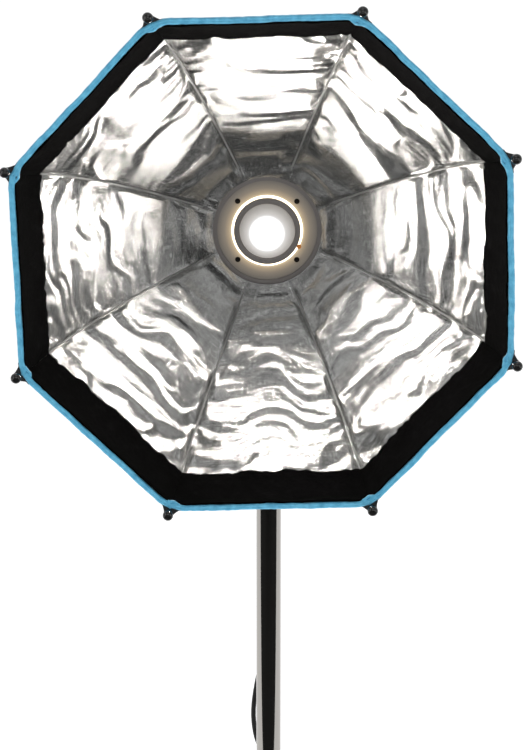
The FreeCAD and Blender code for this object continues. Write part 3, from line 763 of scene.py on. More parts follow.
class Crumple:
    """Smooth seeded noise on a lattice, for folds in cloth."""

    def __init__(self, seed: int) -> None:
        """Draw the lattice.

        Args:
            seed: which of the patterns.
        """
        self.lattice = np.random.default_rng(seed).uniform(-1.0, 1.0, (64, 64))

    def at(self, first: np.ndarray, second: np.ndarray) -> np.ndarray:
        """The noise at points of a plane, from about -1 to 1.

        Args:
            first: places along one direction, in lattice cells.
            second: places along the other.

        Returns:
            The values.
        """
        cell_1, cell_2 = np.floor(first), np.floor(second)
        part_1, part_2 = first - cell_1, second - cell_2
        soft_1, soft_2 = (p * p * p * (p * (p * 6 - 15) + 10) for p in (part_1, part_2))
        row, column = cell_1.astype(int) % 64, cell_2.astype(int) % 64
        next_row, next_column = (row + 1) % 64, (column + 1) % 64
        low = self.lattice[row, column] * (1 - soft_2) + self.lattice[row, next_column] * soft_2
        high = self.lattice[next_row, column] * (1 - soft_2) + self.lattice[next_row, next_column] * soft_2
        return low * (1 - soft_1) + high * soft_1


def smooth(value: np.ndarray, low: float, high: float) -> np.ndarray:
    """Rise smoothly from 0 at low to 1 at high."""
    part = np.clip((value - low) / (high - low), 0.0, 1.0)
    return part * part * (3 - 2 * part)


@dataclass
class ClothBowl:
    """The folding bowl: silver lining, black shell, border strip, blue binding and seams."""

    lining_columns: int = 80
    lining_rows: int = 124
    shell_columns: int = 40
    shell_rows: int = 64
    border_depth: float = 73.0 * MM
    keep_when_folded: float = 0.36
    edge_kept_when_folded: float = 0.21
    sleeve_half_width: float = 15.0 * MM
    rod_offset: float = 4.0 * MM
    rod_radius: float = 2.5 * MM
    furthest_inwards: float = 11.0 * MM
    furthest_outwards: float = 0.4 * MM
    growth: float = -0.022
    mouth_radius: float = 72.5 * MM
    mouth_lift: float = 4.2 * MM
    frames: int = 22
    linings: list[bpy.types.Object] = field(default_factory=list)

    def place(self, number: int, across: np.ndarray, along: np.ndarray, offset: np.ndarray | float) -> np.ndarray:
        """Points of one gore in the part's frame.

        Args:
            number: which gore, counted from 1.
            across: from -1 at one seam to 1 at the next.
            along: from 0 at the speed ring to 1 at the front edge.
            offset: distance outside the shell's own surface.

        Returns:
            The points, one row each.
        """
        radial, forward = OPTICS.bow(along)
        angle = OPTICS.start_angle + (OPTICS.end_angle - OPTICS.start_angle) * along
        narrow = math.cos(HALF_SECTOR)
        lean_out, lean_back = np.cos(angle), -np.sin(angle) * narrow
        size = np.sqrt(lean_out ** 2 + lean_back ** 2)
        out = radial * narrow + offset * lean_out / size
        forward = forward + offset * lean_back / size
        points = np.stack([out, across * out * math.tan(HALF_SECTOR), forward], axis=1)
        return self.to_part(points, OPTICS.gore_azimuth(number))

    def to_part(self, points: np.ndarray, azimuth: float) -> np.ndarray:
        """Turn points from a frame at an azimuth into the part's frame."""
        matrix = np.array(OPTICS.matrix(azimuth))
        return points @ matrix[:3, :3].T + matrix[:3, 3]

    def on_rib(self, number: int, side: np.ndarray, along: np.ndarray, offset: np.ndarray | float) -> np.ndarray:
        """Points near one rib in the part's frame.

        Args:
            number: which rib, counted from 1.
            side: distance to the side of the rib's plane.
            along: from 0 at the speed ring to 1 at the front edge.
            offset: distance outside the shell's corner line.

        Returns:
            The points, one row each.
        """
        radial, forward = OPTICS.bow(along, offset)
        return self.to_part(np.stack([radial, side, forward], axis=1), OPTICS.rib_azimuth(number))

    def crushed(self, piece: bpy.types.Object, number: int) -> bpy.types.Object:
        """Give a gore's piece a mesh of its own."""
        across = OPTICS.tangent(OPTICS.gore_azimuth(number))
        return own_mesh(piece)

    def folds(self, number: int, across: np.ndarray, along: np.ndarray) -> np.ndarray:
        """Height of a lining's folds, inwards being negative.

        Args:
            number: which gore.
            across: from -1 to 1.
            along: from 0 to 1.

        Returns:
            Offsets in metres.
        """
        noise = [Crumple(100 * number + layer) for layer in range(7)]
        run = along * OPTICS.bow_length / MM
        radial, _ = OPTICS.bow(along)
        half = radial * math.sin(HALF_SECTOR) / MM
        side = across * half
        edge = half - np.abs(side)
        drift = noise[0].at(run / 70, side / 55 + 9) * 17 + noise[1].at(run / 30, side / 38) * 3.6
        broad = np.sin((run + drift + side * 0.12 * noise[2].at(run / 90, side / 300 + 3)) * 2 * math.pi / 54)
        second = np.sin((run * 1.0 + drift * 1.7 + 11) * 2 * math.pi / 24 + side / 60)
        strength = 0.5 + 0.5 * noise[3].at(run / 34, side / 62 + 20)
        outer = 0.30 + 0.70 * smooth(along, 0.18, 0.62)
        folds = (np.abs(broad) ** 0.75 * np.sign(broad) * 3.3 * strength + second * 0.75 * (1.1 - strength)) * outer
        large = noise[4].at(run / 58 + 5, side / 52 + 5) * 6.4 * (1.0 - 0.62 * outer)
        puckers = 0.0
        for sign in (-1, 1):
            phase = noise[5].at(run / 19, np.full_like(run, sign * 5.5 + 12)) * 2.3
            wave = np.sin((run + phase) * 2 * math.pi / 10.4 + side * sign * 0.03)
            away = half - sign * side
            amount = 0.6 + 0.55 * noise[6].at(run / 23, np.full_like(run, sign * 7.5 + 30))
            puckers = puckers + wave * amount * 2.1 * np.exp(-away / 17.0) * smooth(away, 0.0, 5.0)
        puckers = puckers * smooth(along, 0.34, 0.58)
        fine = noise[2].at(run / 12 + 3, side / 16 + 8) * 0.16
        held = smooth(edge, 0.0, 9.0) * smooth(run, 0.0, 14.0)
        free = 1.0 - smooth(along, 0.775, 0.83)
        return (((folds + large + fine - 2.4) * held + puckers) * (0.12 + 0.88 * free) - 1.6) * MM

    def lining(self, number: int) -> bpy.types.Object:
        """The silver lining of one gore.

        Args:
            number: which gore.

        Returns:
            The lining.
        """
        piece = Bench.grid(f"silver_lining_{number}", self.lining_columns, self.lining_rows)
        across, along = self.grid_places(piece)
        offset = self.folds(number, across, along)
        Bench.mapped(piece, lambda u, v: self.place(number, u, (v + 1) / 2, offset))
        self.linings.append(piece)
        return piece

    def grid_places(self, piece: bpy.types.Object) -> tuple[np.ndarray, np.ndarray]:
        """A flat grid's places across, from -1 to 1, and along, from 0 to 1."""
        points = np.empty(len(piece.data.vertices) * 3)
        piece.data.vertices.foreach_get("co", points)
        points = points.reshape(-1, 3)
        return points[:, 0].copy(), (points[:, 1].copy() + 1) / 2

    def crumple_linings(self) -> None:
        """Let the linings' spare cloth buckle between their seams, by cloth simulation."""
        starts = {}
        scene = bpy.context.scene
        for piece in self.linings:
            starts[piece.name] = self.mesh_points(piece)
            across, along = self.flat_places(piece)
            held = np.where((np.abs(across) > 0.999) | (along < 0.001) | (along > 0.82))[0]
            group = piece.vertex_groups.new(name="held")
            group.add([int(i) for i in held], 1.0, "REPLACE")
            cloth = piece.modifiers.new("buckling", "CLOTH")
            settings = cloth.settings
            settings.quality = 4
            settings.mass = 0.12
            settings.tension_stiffness = settings.compression_stiffness = 14.0
            settings.shear_stiffness = 6.0
            settings.bending_stiffness = 0.6
            settings.air_damping = 2.0
            settings.shrink_min = settings.shrink_max = self.growth
            settings.vertex_group_mass = "held"
            settings.effector_weights.gravity = 0.0
            cloth.collision_settings.use_collision = False
            cloth.collision_settings.use_self_collision = False
            cloth.point_cache.frame_start, cloth.point_cache.frame_end = 1, self.frames
        for step in range(1, self.frames + 1):
            scene.frame_set(step)
        for number, piece in enumerate(self.linings, 1):
            Bench.apply(piece)
            piece.vertex_groups.clear()
            self.cap(piece, number)
        scene.frame_set(1)

    def mesh_points(self, piece: bpy.types.Object) -> np.ndarray:
        """A mesh's points, one row each."""
        points = np.empty(len(piece.data.vertices) * 3)
        piece.data.vertices.foreach_get("co", points)
        return points.reshape(-1, 3)

    def flat_places(self, piece: bpy.types.Object) -> tuple[np.ndarray, np.ndarray]:
        """A grid's places across and along, read back from its UV map."""
        count = len(piece.data.loops)
        corner = np.empty(count, dtype=int)
        piece.data.loops.foreach_get("vertex_index", corner)
        uv = np.empty(count * 2)
        piece.data.uv_layers[0].data.foreach_get("uv", uv)
        uv = uv.reshape(-1, 2)
        places = np.zeros((len(piece.data.vertices), 2))
        places[corner] = uv
        return places[:, 0] * 2 - 1, places[:, 1]

    def cap(self, piece: bpy.types.Object, number: int) -> None:
        """Keep a buckled lining inside its shell and not too far from it.

        Args:
            piece: the lining.
            number: its gore.
        """
        across, along = self.flat_places(piece)
        points = self.mesh_points(piece)
        still = self.place(number, across, along, 0.0)
        outer = self.place(number, across, along, 1.0)
        normal = (outer - still) / np.linalg.norm(outer - still, axis=1)[:, None]
        moved = points - still
        depth = np.einsum("ij,ij->i", moved, normal)
        middle = (self.furthest_outwards - self.furthest_inwards) / 2
        half = (self.furthest_outwards + self.furthest_inwards) / 2
        capped = middle + half * np.tanh((depth - middle) / half)
        share = smooth(1.0 - np.abs(across), 0.0, 0.05) * smooth(along, 0.0, 0.04)
        capped = capped * share + np.minimum(depth, -1.0 * MM) * (1 - share)
        points = points + normal * (capped - depth)[:, None]
        piece.data.vertices.foreach_set("co", points.ravel())
        piece.data.update()

    def finish_lining(self, piece: bpy.types.Object, number: int) -> None:
        """Smooth and dress a lining.

        Args:
            piece: the lining.
            number: its gore.
        """
        rounded = piece.modifiers.new("rounded", "SUBSURF")
        rounded.levels = rounded.render_levels = 1
        rounded.uv_smooth = "NONE"
        Bench.apply(piece)
        bpy.ops.object.mode_set(mode="EDIT")
        bpy.ops.mesh.select_all(action="SELECT")
        bpy.ops.mesh.flip_normals()
        bpy.ops.object.mode_set(mode="OBJECT")
        bpy.ops.object.shade_smooth()
        self.draw_in_mouth(piece, number)
        ridden(piece, f"gore_{number}", SILVER_CLOTH)
        self.crushed(piece, number)
        self.declare()

    def draw_in_mouth(self, piece: bpy.types.Object, number: int) -> None:
        """Draw a lining's inner edge in over the speed ring's rim.

        Args:
            piece: the lining.
            number: its gore.
        """
        across, along = self.flat_places(piece)
        share = 1.0 - smooth(along, 0.0, 0.06)
        turn = np.array(OPTICS.matrix(OPTICS.gore_azimuth(number)))[:3, :3]
        angle = np.arctan(across * math.tan(HALF_SECTOR))
        apothem = OPTICS.bow(0.0)[0] * math.cos(HALF_SECTOR)
        pull = np.stack([share * (self.mouth_radius * np.cos(angle) - apothem),
                         share * (self.mouth_radius * np.sin(angle) - apothem * np.tan(angle)),
                         share * self.mouth_lift], axis=1)
        points = self.mesh_points(piece) + pull @ turn.T
        piece.data.vertices.foreach_set("co", points.ravel())
        piece.data.update()

    def declare(self) -> None:
        """Work out a gore's cloth widths at the ring, the middle and the front edge."""
        narrow = 2 * (OPTICS.bow(0.0)[0]) * math.sin(HALF_SECTOR)
        wide = 2 * (OPTICS.bow(1.0)[0]) * math.sin(HALF_SECTOR)
        middle = 2 * (OPTICS.bow(0.5)[0]) * math.sin(HALF_SECTOR)

    def shell(self, number: int) -> bpy.types.Object:
        """The black outside of one gore, with its hem at the front and its doubled band at the ring.

        Args:
            number: which gore.

        Returns:
            The shell.
        """
        piece = Bench.grid(f"shell_{number}", self.shell_columns, self.shell_rows)
        across, along = self.grid_places(piece)
        noise = [Crumple(900 + 10 * number + layer) for layer in range(3)]
        run = along * OPTICS.bow_length / MM
        radial, _ = OPTICS.bow(along)
        side = across * radial * math.sin(HALF_SECTOR) / MM
        drift = noise[0].at(run / 60, side / 60 + 4) * 14
        ease = np.sin((run + drift) * 2 * math.pi / 52) * 0.55 + noise[1].at(run / 40, side / 45) * 0.9
        edge = radial * math.sin(HALF_SECTOR) / MM - np.abs(side)
        ease = ease * smooth(edge, 0.0, 22.0) * smooth(run, 4.0, 40.0) * smooth(375 - run, 0.0, 30.0)
        hem = 0.9 * smooth(along, 0.925, 0.93) + 0.9 * (1 - smooth(along, 0.075, 0.08))
        offset = (1.5 + ease + hem) * MM
        Bench.mapped(piece, lambda u, v: self.place(number, u * 0.99, (v + 1) / 2, offset))
        wall = piece.modifiers.new("cloth_weight", "SOLIDIFY")
        wall.thickness = 0.7 * MM
        wall.offset = 0.0
        Bench.apply(piece)
        bpy.ops.object.shade_smooth_by_angle(angle=math.radians(50))
        ridden(piece, f"gore_{number}", SHELL_CLOTH)
        self.crushed(piece, number)
        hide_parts(f"panel_{number}")
        self.declare()
        return piece

    def border(self, number: int) -> bpy.types.Object:
        """The looped strip inside the front edge that a front diffuser would cling to.

        Args:
            number: which gore.

        Returns:
            The strip.
        """
        piece = Bench.grid(f"border_strip_{number}", 150, 26)
        across, row = self.grid_places(piece)
        noise = [Crumple(1500 + 10 * number + layer) for layer in range(3)]
        depth = self.border_depth * (1.0 + 0.055 * noise[0].at(across * 4 + 9, across * 0) +
                                     0.030 * noise[1].at(across * 19 + 30, across * 0))
        start = 1.0 - depth / OPTICS.bow_length
        along = start + (0.998 - start) * row
        pile = noise[2].at(across * 60 + 80, row * 26) * 0.35 + noise[1].at(across * 7 + 9, row * 2) * 1.1
        lift = smooth(row, 0.0, 0.08) * 1.3 + 1.2
        offset = (-3.4 - lift + pile * 0.8) * MM
        Bench.mapped(piece, lambda u, v: self.place(number, u, along, offset))
        wall = piece.modifiers.new("pile", "SOLIDIFY")
        wall.thickness = 1.6 * MM
        wall.offset = 1.0
        Bench.apply(piece)
        bpy.ops.object.shade_smooth()
        ridden(piece, f"gore_{number}", LOOP_TAPE)
        return self.crushed(piece, number)

    def binding(self, number: int) -> bpy.types.Object:
        """The blue two-ridged binding folded over one gore's front edge.

        Args:
            number: which gore.

        Returns:
            The binding.
        """
        piece = Bench.grid(f"blue_binding_{number}", 120, 26)
        across, row = self.grid_places(piece)
        noise = [Crumple(2100 + 10 * number + layer) for layer in range(3)]
        turn = (row * 2 - 1) * math.radians(104)
        ridge = 1.0 - 0.30 * np.exp(-(turn / math.radians(20)) ** 2)
        zero = across * 0
        sway = noise[0].at(across * 5 + 11, zero) * 0.75
        twist = noise[1].at(across * 3.4 + 21, zero) * 0.7
        pucker = noise[2].at(across * 24 + 31, row * 1.5) * 0.28
        corner = smooth(np.abs(across), 0.84, 1.0)
        tail = np.maximum(0.0, np.abs(row * 2 - 1) - 0.86) * 42
        out = np.sin(turn) * (3.7 + pucker) * ridge + sway - 0.6 - corner * 3.4
        ahead = np.cos(turn) * (2.9 + pucker) * ridge + twist * np.sin(turn) - tail - 1.0
        points = np.stack([(300.0 + out) * MM, zero, OPTICS.bow(1.0)[1] + ahead * MM], axis=1)
        points[:, 1] = across * points[:, 0] * math.tan(HALF_SECTOR) * 1.004
        placed = self.to_part(points, OPTICS.gore_azimuth(number))
        Bench.mapped(piece, lambda u, v: placed)
        wall = piece.modifiers.new("tape", "SOLIDIFY")
        wall.thickness = 0.5 * MM
        wall.offset = 0.0
        Bench.apply(piece)
        bpy.ops.object.shade_smooth()
        ridden(piece, f"gore_{number}", BLUE_TAPE)
        return self.crushed(piece, number)

    def corner_fold(self, number: int) -> bpy.types.Object:
        """The spare tape folded into a small loop behind a corner of the binding.

        Args:
            number: which rib.

        Returns:
            The loop.
        """
        matrix = OPTICS.matrix(OPTICS.rib_azimuth(number))
        corner_radius, front = OPTICS.bow(1.0)
        sway = Crumple(2900).at(np.array([number * 1.7]), np.array([3.0]))[0] * 3.0
        line = [(-8.0, -10.0, -1.0), (-8.6, -5.0, 0.2), (-9.8, sway * 0.4 - 1.0, 0.4), (-10.6, sway * 0.5 + 1.5, -0.8),
                (-9.4, 5.0, -0.2), (-8.2, 9.0, -0.4), (-7.8, 13.0, -1.4)]
        points = [matrix @ Vector((corner_radius + out * MM, side * MM, front + ahead * MM))
                  for out, side, ahead in line]
        piece = Bench.swept(f"corner_fold_{number}", points, 1.7 * MM)
        self.unwrap(piece)
        return ridden(piece, f"rib_arm_{number}", BLUE_TAPE)

    @staticmethod
    def unwrap(piece: bpy.types.Object) -> None:
        """Give a swept piece a UV map, where it has none."""
        if not piece.data.uv_layers:
            Bench.take(piece)
            bpy.ops.object.mode_set(mode="EDIT")
            bpy.ops.mesh.select_all(action="SELECT")
            bpy.ops.uv.cube_project(cube_size=0.02)
            bpy.ops.object.mode_set(mode="OBJECT")

    def sleeve(self, number: int) -> bpy.types.Object:
        """The webbing sleeve that holds a rib against the seam outside.

        Args:
            number: which rib.

        Returns:
            The sleeve.
        """
        piece = Bench.grid(f"rib_sleeve_{number}", 22, 90)
        across, row = self.grid_places(piece)
        along = 0.085 + 0.912 * row
        noise = Crumple(3300 + number)
        side = across * self.sleeve_half_width * (1 + 0.03 * noise.at(row * 22, across * 0))
        crown = (self.rod_offset + self.rod_radius + 1.1 * MM)
        drop = np.abs(side) * math.tan(HALF_SECTOR)
        offset = 2.7 * MM - drop + (crown - 2.7 * MM) * np.exp(-(side / (5.4 * MM)) ** 2)
        hem = 0.35 * smooth(np.abs(across), 0.84, 0.9)
        offset = offset + (noise.at(row * 40 + 3, across * 1.5 + 8) * 0.3 + hem) * MM
        Bench.mapped(piece, lambda u, v: self.on_rib(number, side, along, offset))
        wall = piece.modifiers.new("webbing", "SOLIDIFY")
        wall.thickness = 1.0 * MM
        wall.offset = 1.0
        Bench.apply(piece)
        bpy.ops.object.shade_smooth_by_angle(angle=math.radians(55))
        return ridden(piece, f"rib_arm_{number}", WEBBING)

    def seam(self, number: int) -> bpy.types.Object:
        """The stitched tape along a seam inside.

        Args:
            number: which rib's seam.

        Returns:
            The tape.
        """
        stitches = 96
        piece = Bench.grid(f"inner_seam_{number}", 6, stitches * 4)
        across, row = self.grid_places(piece)
        along = 0.004 + 0.815 * row
        noise = Crumple(3700 + number)
        beads = np.abs(np.sin(row * stitches * math.pi)) ** 0.5
        side = across * (0.45 + 0.65 * beads + 0.15 * noise.at(row * 60, across * 0)) * MM
        offset = (-2.9 - 0.5 * beads * (1 - across ** 2) + noise.at(row * 30, across * 0 + 5) * 0.35) * MM
        Bench.mapped(piece, lambda u, v: self.on_rib(number, side, along, offset))
        wall = piece.modifiers.new("tape", "SOLIDIFY")
        wall.thickness = 0.5 * MM
        Bench.apply(piece)
        bpy.ops.object.shade_smooth()
        return ridden(piece, f"rib_arm_{number}", SEAM_THREAD)

    def stitching(self, number: int) -> bpy.types.Object:
        """Two rows of stitches along a sleeve's edges.

        Args:
            number: which rib's sleeve.

        Returns:
            The stitches.
        """
        rows = []
        for hand in (-1, 1):
            piece = Bench.grid(f"stitch_row_{number}_{'a' if hand < 0 else 'b'}", 2, 420)
            across, row = self.grid_places(piece)
            along = 0.10 + 0.89 * row
            side = (hand * 12.6 + across * 0.42) * MM
            beads = np.maximum(0.0, np.sin(row * 105 * 2 * math.pi)) ** 0.4
            drop = np.abs(side) * math.tan(HALF_SECTOR)
            offset = 2.7 * MM - drop + (1.15 + 0.55 * beads * (1 - np.abs(across)) - 0.5 * (beads < 0.05)) * MM
            Bench.mapped(piece, lambda u, v, s=side, a=along, o=offset: self.on_rib(number, s, a, o))
            rows.append(piece)
        piece = Bench.joined(f"sleeve_stitches_{number}", rows)
        wall = piece.modifiers.new("thread", "SOLIDIFY")
        wall.thickness = 0.3 * MM
        Bench.apply(piece)
        bpy.ops.object.shade_smooth()
        return ridden(piece, f"rib_arm_{number}", THREAD)

    def corner_pocket(self, number: int) -> bpy.types.Object:
        """The flared pocket outside a corner, from which a rib's ball stands out.

        Args:
            number: which rib.

        Returns:
            The pocket.
        """
        piece = Bench.grid(f"corner_pocket_{number}", 18, 16)
        across, row = self.grid_places(piece)
        half_width = (17.5 - 12.2 * smooth(row, 0.05, 0.95)) * MM
        side = across * half_width
        corner_radius, front = OPTICS.bow(1.0)
        out = corner_radius + (-6.0 + 14.5 * row) * MM - np.abs(side) * math.tan(HALF_SECTOR) * (1 - row * 0.6)
        ahead = front + (-5.0 + 8.5 * row ** 1.6 - 2.2 * across ** 2) * MM
        placed = self.to_part(np.stack([out, side, ahead], axis=1), OPTICS.rib_azimuth(number))
        Bench.mapped(piece, lambda u, v: placed)
        wall = piece.modifiers.new("pocket", "SOLIDIFY")
        wall.thickness = 5.0 * MM
        wall.offset = 0.0
        Bench.apply(piece)
        Bench.softened(piece, 1.4 * MM, 3)
        return ridden(piece, f"rib_arm_{number}", WEBBING)

    def rib_cap(self, number: int) -> bpy.types.Object:
        """The glossy ball and its moulded neck on a rib's end.

        Args:
            number: which rib.

        Returns:
            The cap.
        """
        matrix = OPTICS.matrix(OPTICS.rib_azimuth(number))
        lean = math.radians(14.6)
        reach = OPTICS.bow_radius + self.rod_offset
        end = Vector((OPTICS.bow_centre + reach * math.cos(lean), 0.0, OPTICS.bow_forward - reach * math.sin(lean)))
        place = matrix @ Matrix.Translation(end) @ Matrix.Rotation(lean, 4, "Y")
        profile = [(5.0, -16.0), (5.2, -9.0), (4.2, -4.0), (3.6, -1.8), (4.4, -0.4), (5.8, 1.4), (6.6, 3.4), (6.7, 5.2),
                   (6.1, 7.4), (4.7, 9.0), (2.7, 10.1), (1.2, 10.45), (0.5, 10.5)]
        piece = Bench.turned(f"rib_cap_{number}", [(r * MM, z * MM) for r, z in profile], place, 40)
        rounded = piece.modifiers.new("rounded", "SUBSURF")
        rounded.levels = rounded.render_levels = 1
        Bench.apply(piece)
        bpy.ops.object.shade_smooth()
        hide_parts(f"rib_tip_{number}")
        return ridden(piece, f"rib_arm_{number}", GLOSS_BLACK)

    def build(self) -> None:
        """Make all of the bowl's pieces."""
        for number in range(1, RIB_COUNT + 1):
            self.lining(number)
        self.crumple_linings()
        log.info("linings buckled")
        for number, piece in enumerate(self.linings, 1):
            self.finish_lining(piece, number)
            log.info("gore %d: %s, %s, %s, %s", number, piece.name, self.shell(number).name, self.border(number).name,
                     self.binding(number).name)
        for number in range(1, RIB_COUNT + 1):
            made = [self.sleeve(number), self.seam(number), self.stitching(number), self.corner_fold(number),
                    self.corner_pocket(number), self.rib_cap(number)]
            log.info("rib %d: %s", number, ", ".join(piece.name for piece in made))


@dataclass
class MainsLead:
    """The mains lead from the head's inlet: hung behind the riser, wound in a coil and ended in its plug."""

    exit: tuple[float, float, float] = (0.0, 0.150, 0.796)
    length: float = 2.7
    diameter: float = 7.0 * MM
    coil_centre: tuple[float, float, float] = (0.0, 0.0675, 0.098)
    turn_points: int = 16
    pitch: float = 7.15 * MM

    def route(self) -> list[tuple[float, float, float]]:
        """The hanging part's points, then the coil's turns, then the tail into the plug."""
        hanging = [(0.0, 0.150, 0.796), (0.0, 0.150, 0.758), (-0.002, 0.140, 0.712), (-0.004, 0.114, 0.667),
                   (-0.005, 0.082, 0.622), (-0.002, 0.056, 0.568), (0.002, 0.041, 0.506), (0.006, 0.033, 0.438),
                   (0.006, 0.031, 0.375), (0.0, 0.033, 0.320), (-0.009, 0.033, 0.270), (-0.0185, 0.031, 0.228),
                   (-0.0235, 0.029, 0.188), (-0.0200, 0.026, 0.154), (-0.0115, 0.0225, 0.132),
                   (-0.0076, 0.0208, 0.116)]
        return hanging + self.turns() + self.tail()

    def turns(self) -> list[tuple[float, float, float]]:
        """Seven turns in three columns side by side, wound inwards, outwards and inwards again."""
        _, behind, up = self.coil_centre
        swell = 1.0 / (0.75 + 0.25 * math.cos(2 * math.pi / self.turn_points))
        inwards = ((0.5, 1), (1.5, 1), (2.75, -1), (3.75, -1), (5.0, 1), (6.0, 1))
        sideways = ((2.0, 1), (4.25, 1))
        points = []
        for step in range(7 * self.turn_points):
            turn = step / self.turn_points
            radius = (45.4 * MM - self.stepped(turn, inwards) * self.pitch) * swell
            side = (self.stepped(turn, sideways) - 1) * self.pitch
            if turn > 6.7:
                side += float(smooth(np.array(turn), 6.7, 7.6)) * 7.0 * MM
            angle = 2 * math.pi * turn
            points.append((side, behind - radius * math.cos(angle), up - radius * math.sin(angle)))
        return points

    @staticmethod
    def stepped(turn: float, steps: Sequence[tuple[float, int]]) -> float:
        """How many ranks the cord has moved by a turn, each step taking half a turn.

        Args:
            turn: turns wound so far.
            steps: where each step starts and its direction.

        Returns:
            The rank.
        """
        return sum(float(smooth(np.array(turn), start, start + 0.5)) * hand for start, hand in steps)

    def tail(self) -> list[tuple[float, float, float]]:
        """From the last turn in one open loop beside the coil and down into the plug."""
        low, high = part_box("mains_plug")
        middle = (low + high) / 2
        radius = 29.5 * MM
        centre_behind, centre_up = middle.y + 28.5 * MM, self.coil_centre[2] - 36.0 * MM
        points = [(10.1 * MM, 0.0359, 0.0975), (12.0 * MM, 0.0370, 0.0860), (13.6 * MM, 0.0418, 0.0730),
                  (14.6 * MM, 0.0478, 0.0590)]
        for turned, side in ((30, 14.8), (54, 15.0), (80, 15.2), (112, 15.6), (144, 16.1), (170, 16.8), (196, 17.9),
                             (222, 19.3), (248, 20.9), (274, 22.6), (300, 24.3), (326, 25.9)):
            angle = math.radians(turned)
            points.append((side * MM, centre_behind - radius * math.cos(angle), centre_up - radius * math.sin(angle)))
        return points + [(middle.x, middle.y, high.z + 6 * MM), (middle.x, middle.y, high.z - 3 * MM)]

    def spline(self, name: str, thickness: float) -> bpy.types.Object:
        """The route as a smooth line.

        Args:
            name: the object's name.
            thickness: its radius, or 0 for a bare line.

        Returns:
            The curve.
        """
        points = self.route()
        curve = bpy.data.curves.new(name, "CURVE")
        curve.dimensions = "3D"
        line = curve.splines.new("NURBS")
        line.points.add(len(points) - 1)
        for target, point in zip(line.points, points):
            target.co = (*point, 1.0)
        line.use_endpoint_u = True
        line.order_u = 3
        line.resolution_u = 4
        curve.resolution_u = 4
        curve.bevel_depth = thickness
        curve.bevel_resolution = 4
        curve.use_fill_caps = thickness > 0
        made = bpy.data.objects.new(name, curve)
        bpy.context.scene.collection.objects.link(made)
        return made

    def build(self) -> None:
        """Make the lead, its strap and the grip rings round its plug."""
        bare = self.spline("lead_line", 0.0)
        bpy.context.view_layer.update()
        followed = bpy.data.meshes.new_from_object(bare)
        path = [tuple(vertex.co) for vertex in followed.vertices]
        bpy.data.objects.remove(bare)
        lead = self.spline("flex", self.diameter / 2)
        Bench.take(lead)
        bpy.ops.object.convert(target="MESH")
        lead = Bench.named("flex")
        bpy.ops.object.shade_smooth()
        PALETTE.dress(lead, RUBBER)
        strap = self.strap()
        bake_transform(lead)
        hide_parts("mains_lead", "lead_coil")
        length = sum(math.dist(a, b) for a, b in zip(path, path[1:]))
        log.info("flex %.3f m long", length)
        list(self.plug_parts())

    def strap(self) -> bpy.types.Object:
        """The hook-and-loop strap's free end, lapped over its ring."""
        low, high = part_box("coil_tie")
        place = Matrix.Translation((high.x + 0.9 * MM, 0.014, (low.z + high.z) / 2))
        piece = Bench.block("strap_end", (1.8 * MM, 24 * MM, 18 * MM), place, 0.7 * MM)
        return ridden(piece, "swivel", LOOP_TAPE)

    def plug_parts(self) -> list[bpy.types.Object]:
        """Grip rings round the plug's body."""
        low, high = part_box("mains_plug")
        middle = (low + high) / 2
        rings = []
        for order in range(3):
            place = Matrix.Translation((middle.x, middle.y, high.z - (20 + 6 * order) * MM))
            ring = Bench.turned(f"plug_grip_{order + 1}", [(11.6 * MM, 0), (12.7 * MM, 0.8 * MM), (12.7 * MM, 2.2 * MM),
                                                           (11.6 * MM, 3.0 * MM)], place, 48, 0.0, hollow=True)
            rings.append(ridden(ring, "swivel", RUBBER))
        return rings


NODE_FINISHES: dict[str, Finish] = {
    "junior_pin": STEEL, "riser_tube": CHROME, "lighting_stud": STEEL, "swivel_yoke": CASTING, "pivot_bolt": STEEL,
    "tilt_lever": MOULDED_BLACK, "spigot_knob": MOULDED_BLACK, "head_casing": CASE_PAINT, "tilt_bracket": CASTING,
    "back_panel": MOULDED_BLACK, "flash_dial": DIAL_GREY, "lamp_dial": DIAL_GREY, "power_switch": ROCKER_RED,
    "test_button": AMBER, "mains_inlet": MOULDED_BLACK, "lead_connector": RUBBER, "adapter_ring": CASTING,
    "front_plate": PLATE_METAL, "plate_screws": BLACK_STEEL, "dome_ring": DARK_RING, "glass_dome": FROST,
    "lamp_socket": CERAMIC, "flash_tube": GLASS, "modelling_lamp": GLASS, "sensor_window": AMBER,
    "capacitor_bank": SLEEVE_BLUE, "circuit_board": BOARD_GREEN, "fan_rotor": MOULDED_BLACK,
    "fan_bracket": MOULDED_BLACK, "speed_ring": DARK_RING, "hinge_pins": STEEL, "ring_lock_knob": MOULDED_BLACK,
    "mains_lead": RUBBER, "lead_coil": RUBBER, "coil_tie": LOOP_TAPE, "mains_plug": RUBBER,
    "rib": BLACK_STEEL, "rib_tip": GLOSS_BLACK, "panel": SHELL_CLOTH,
}


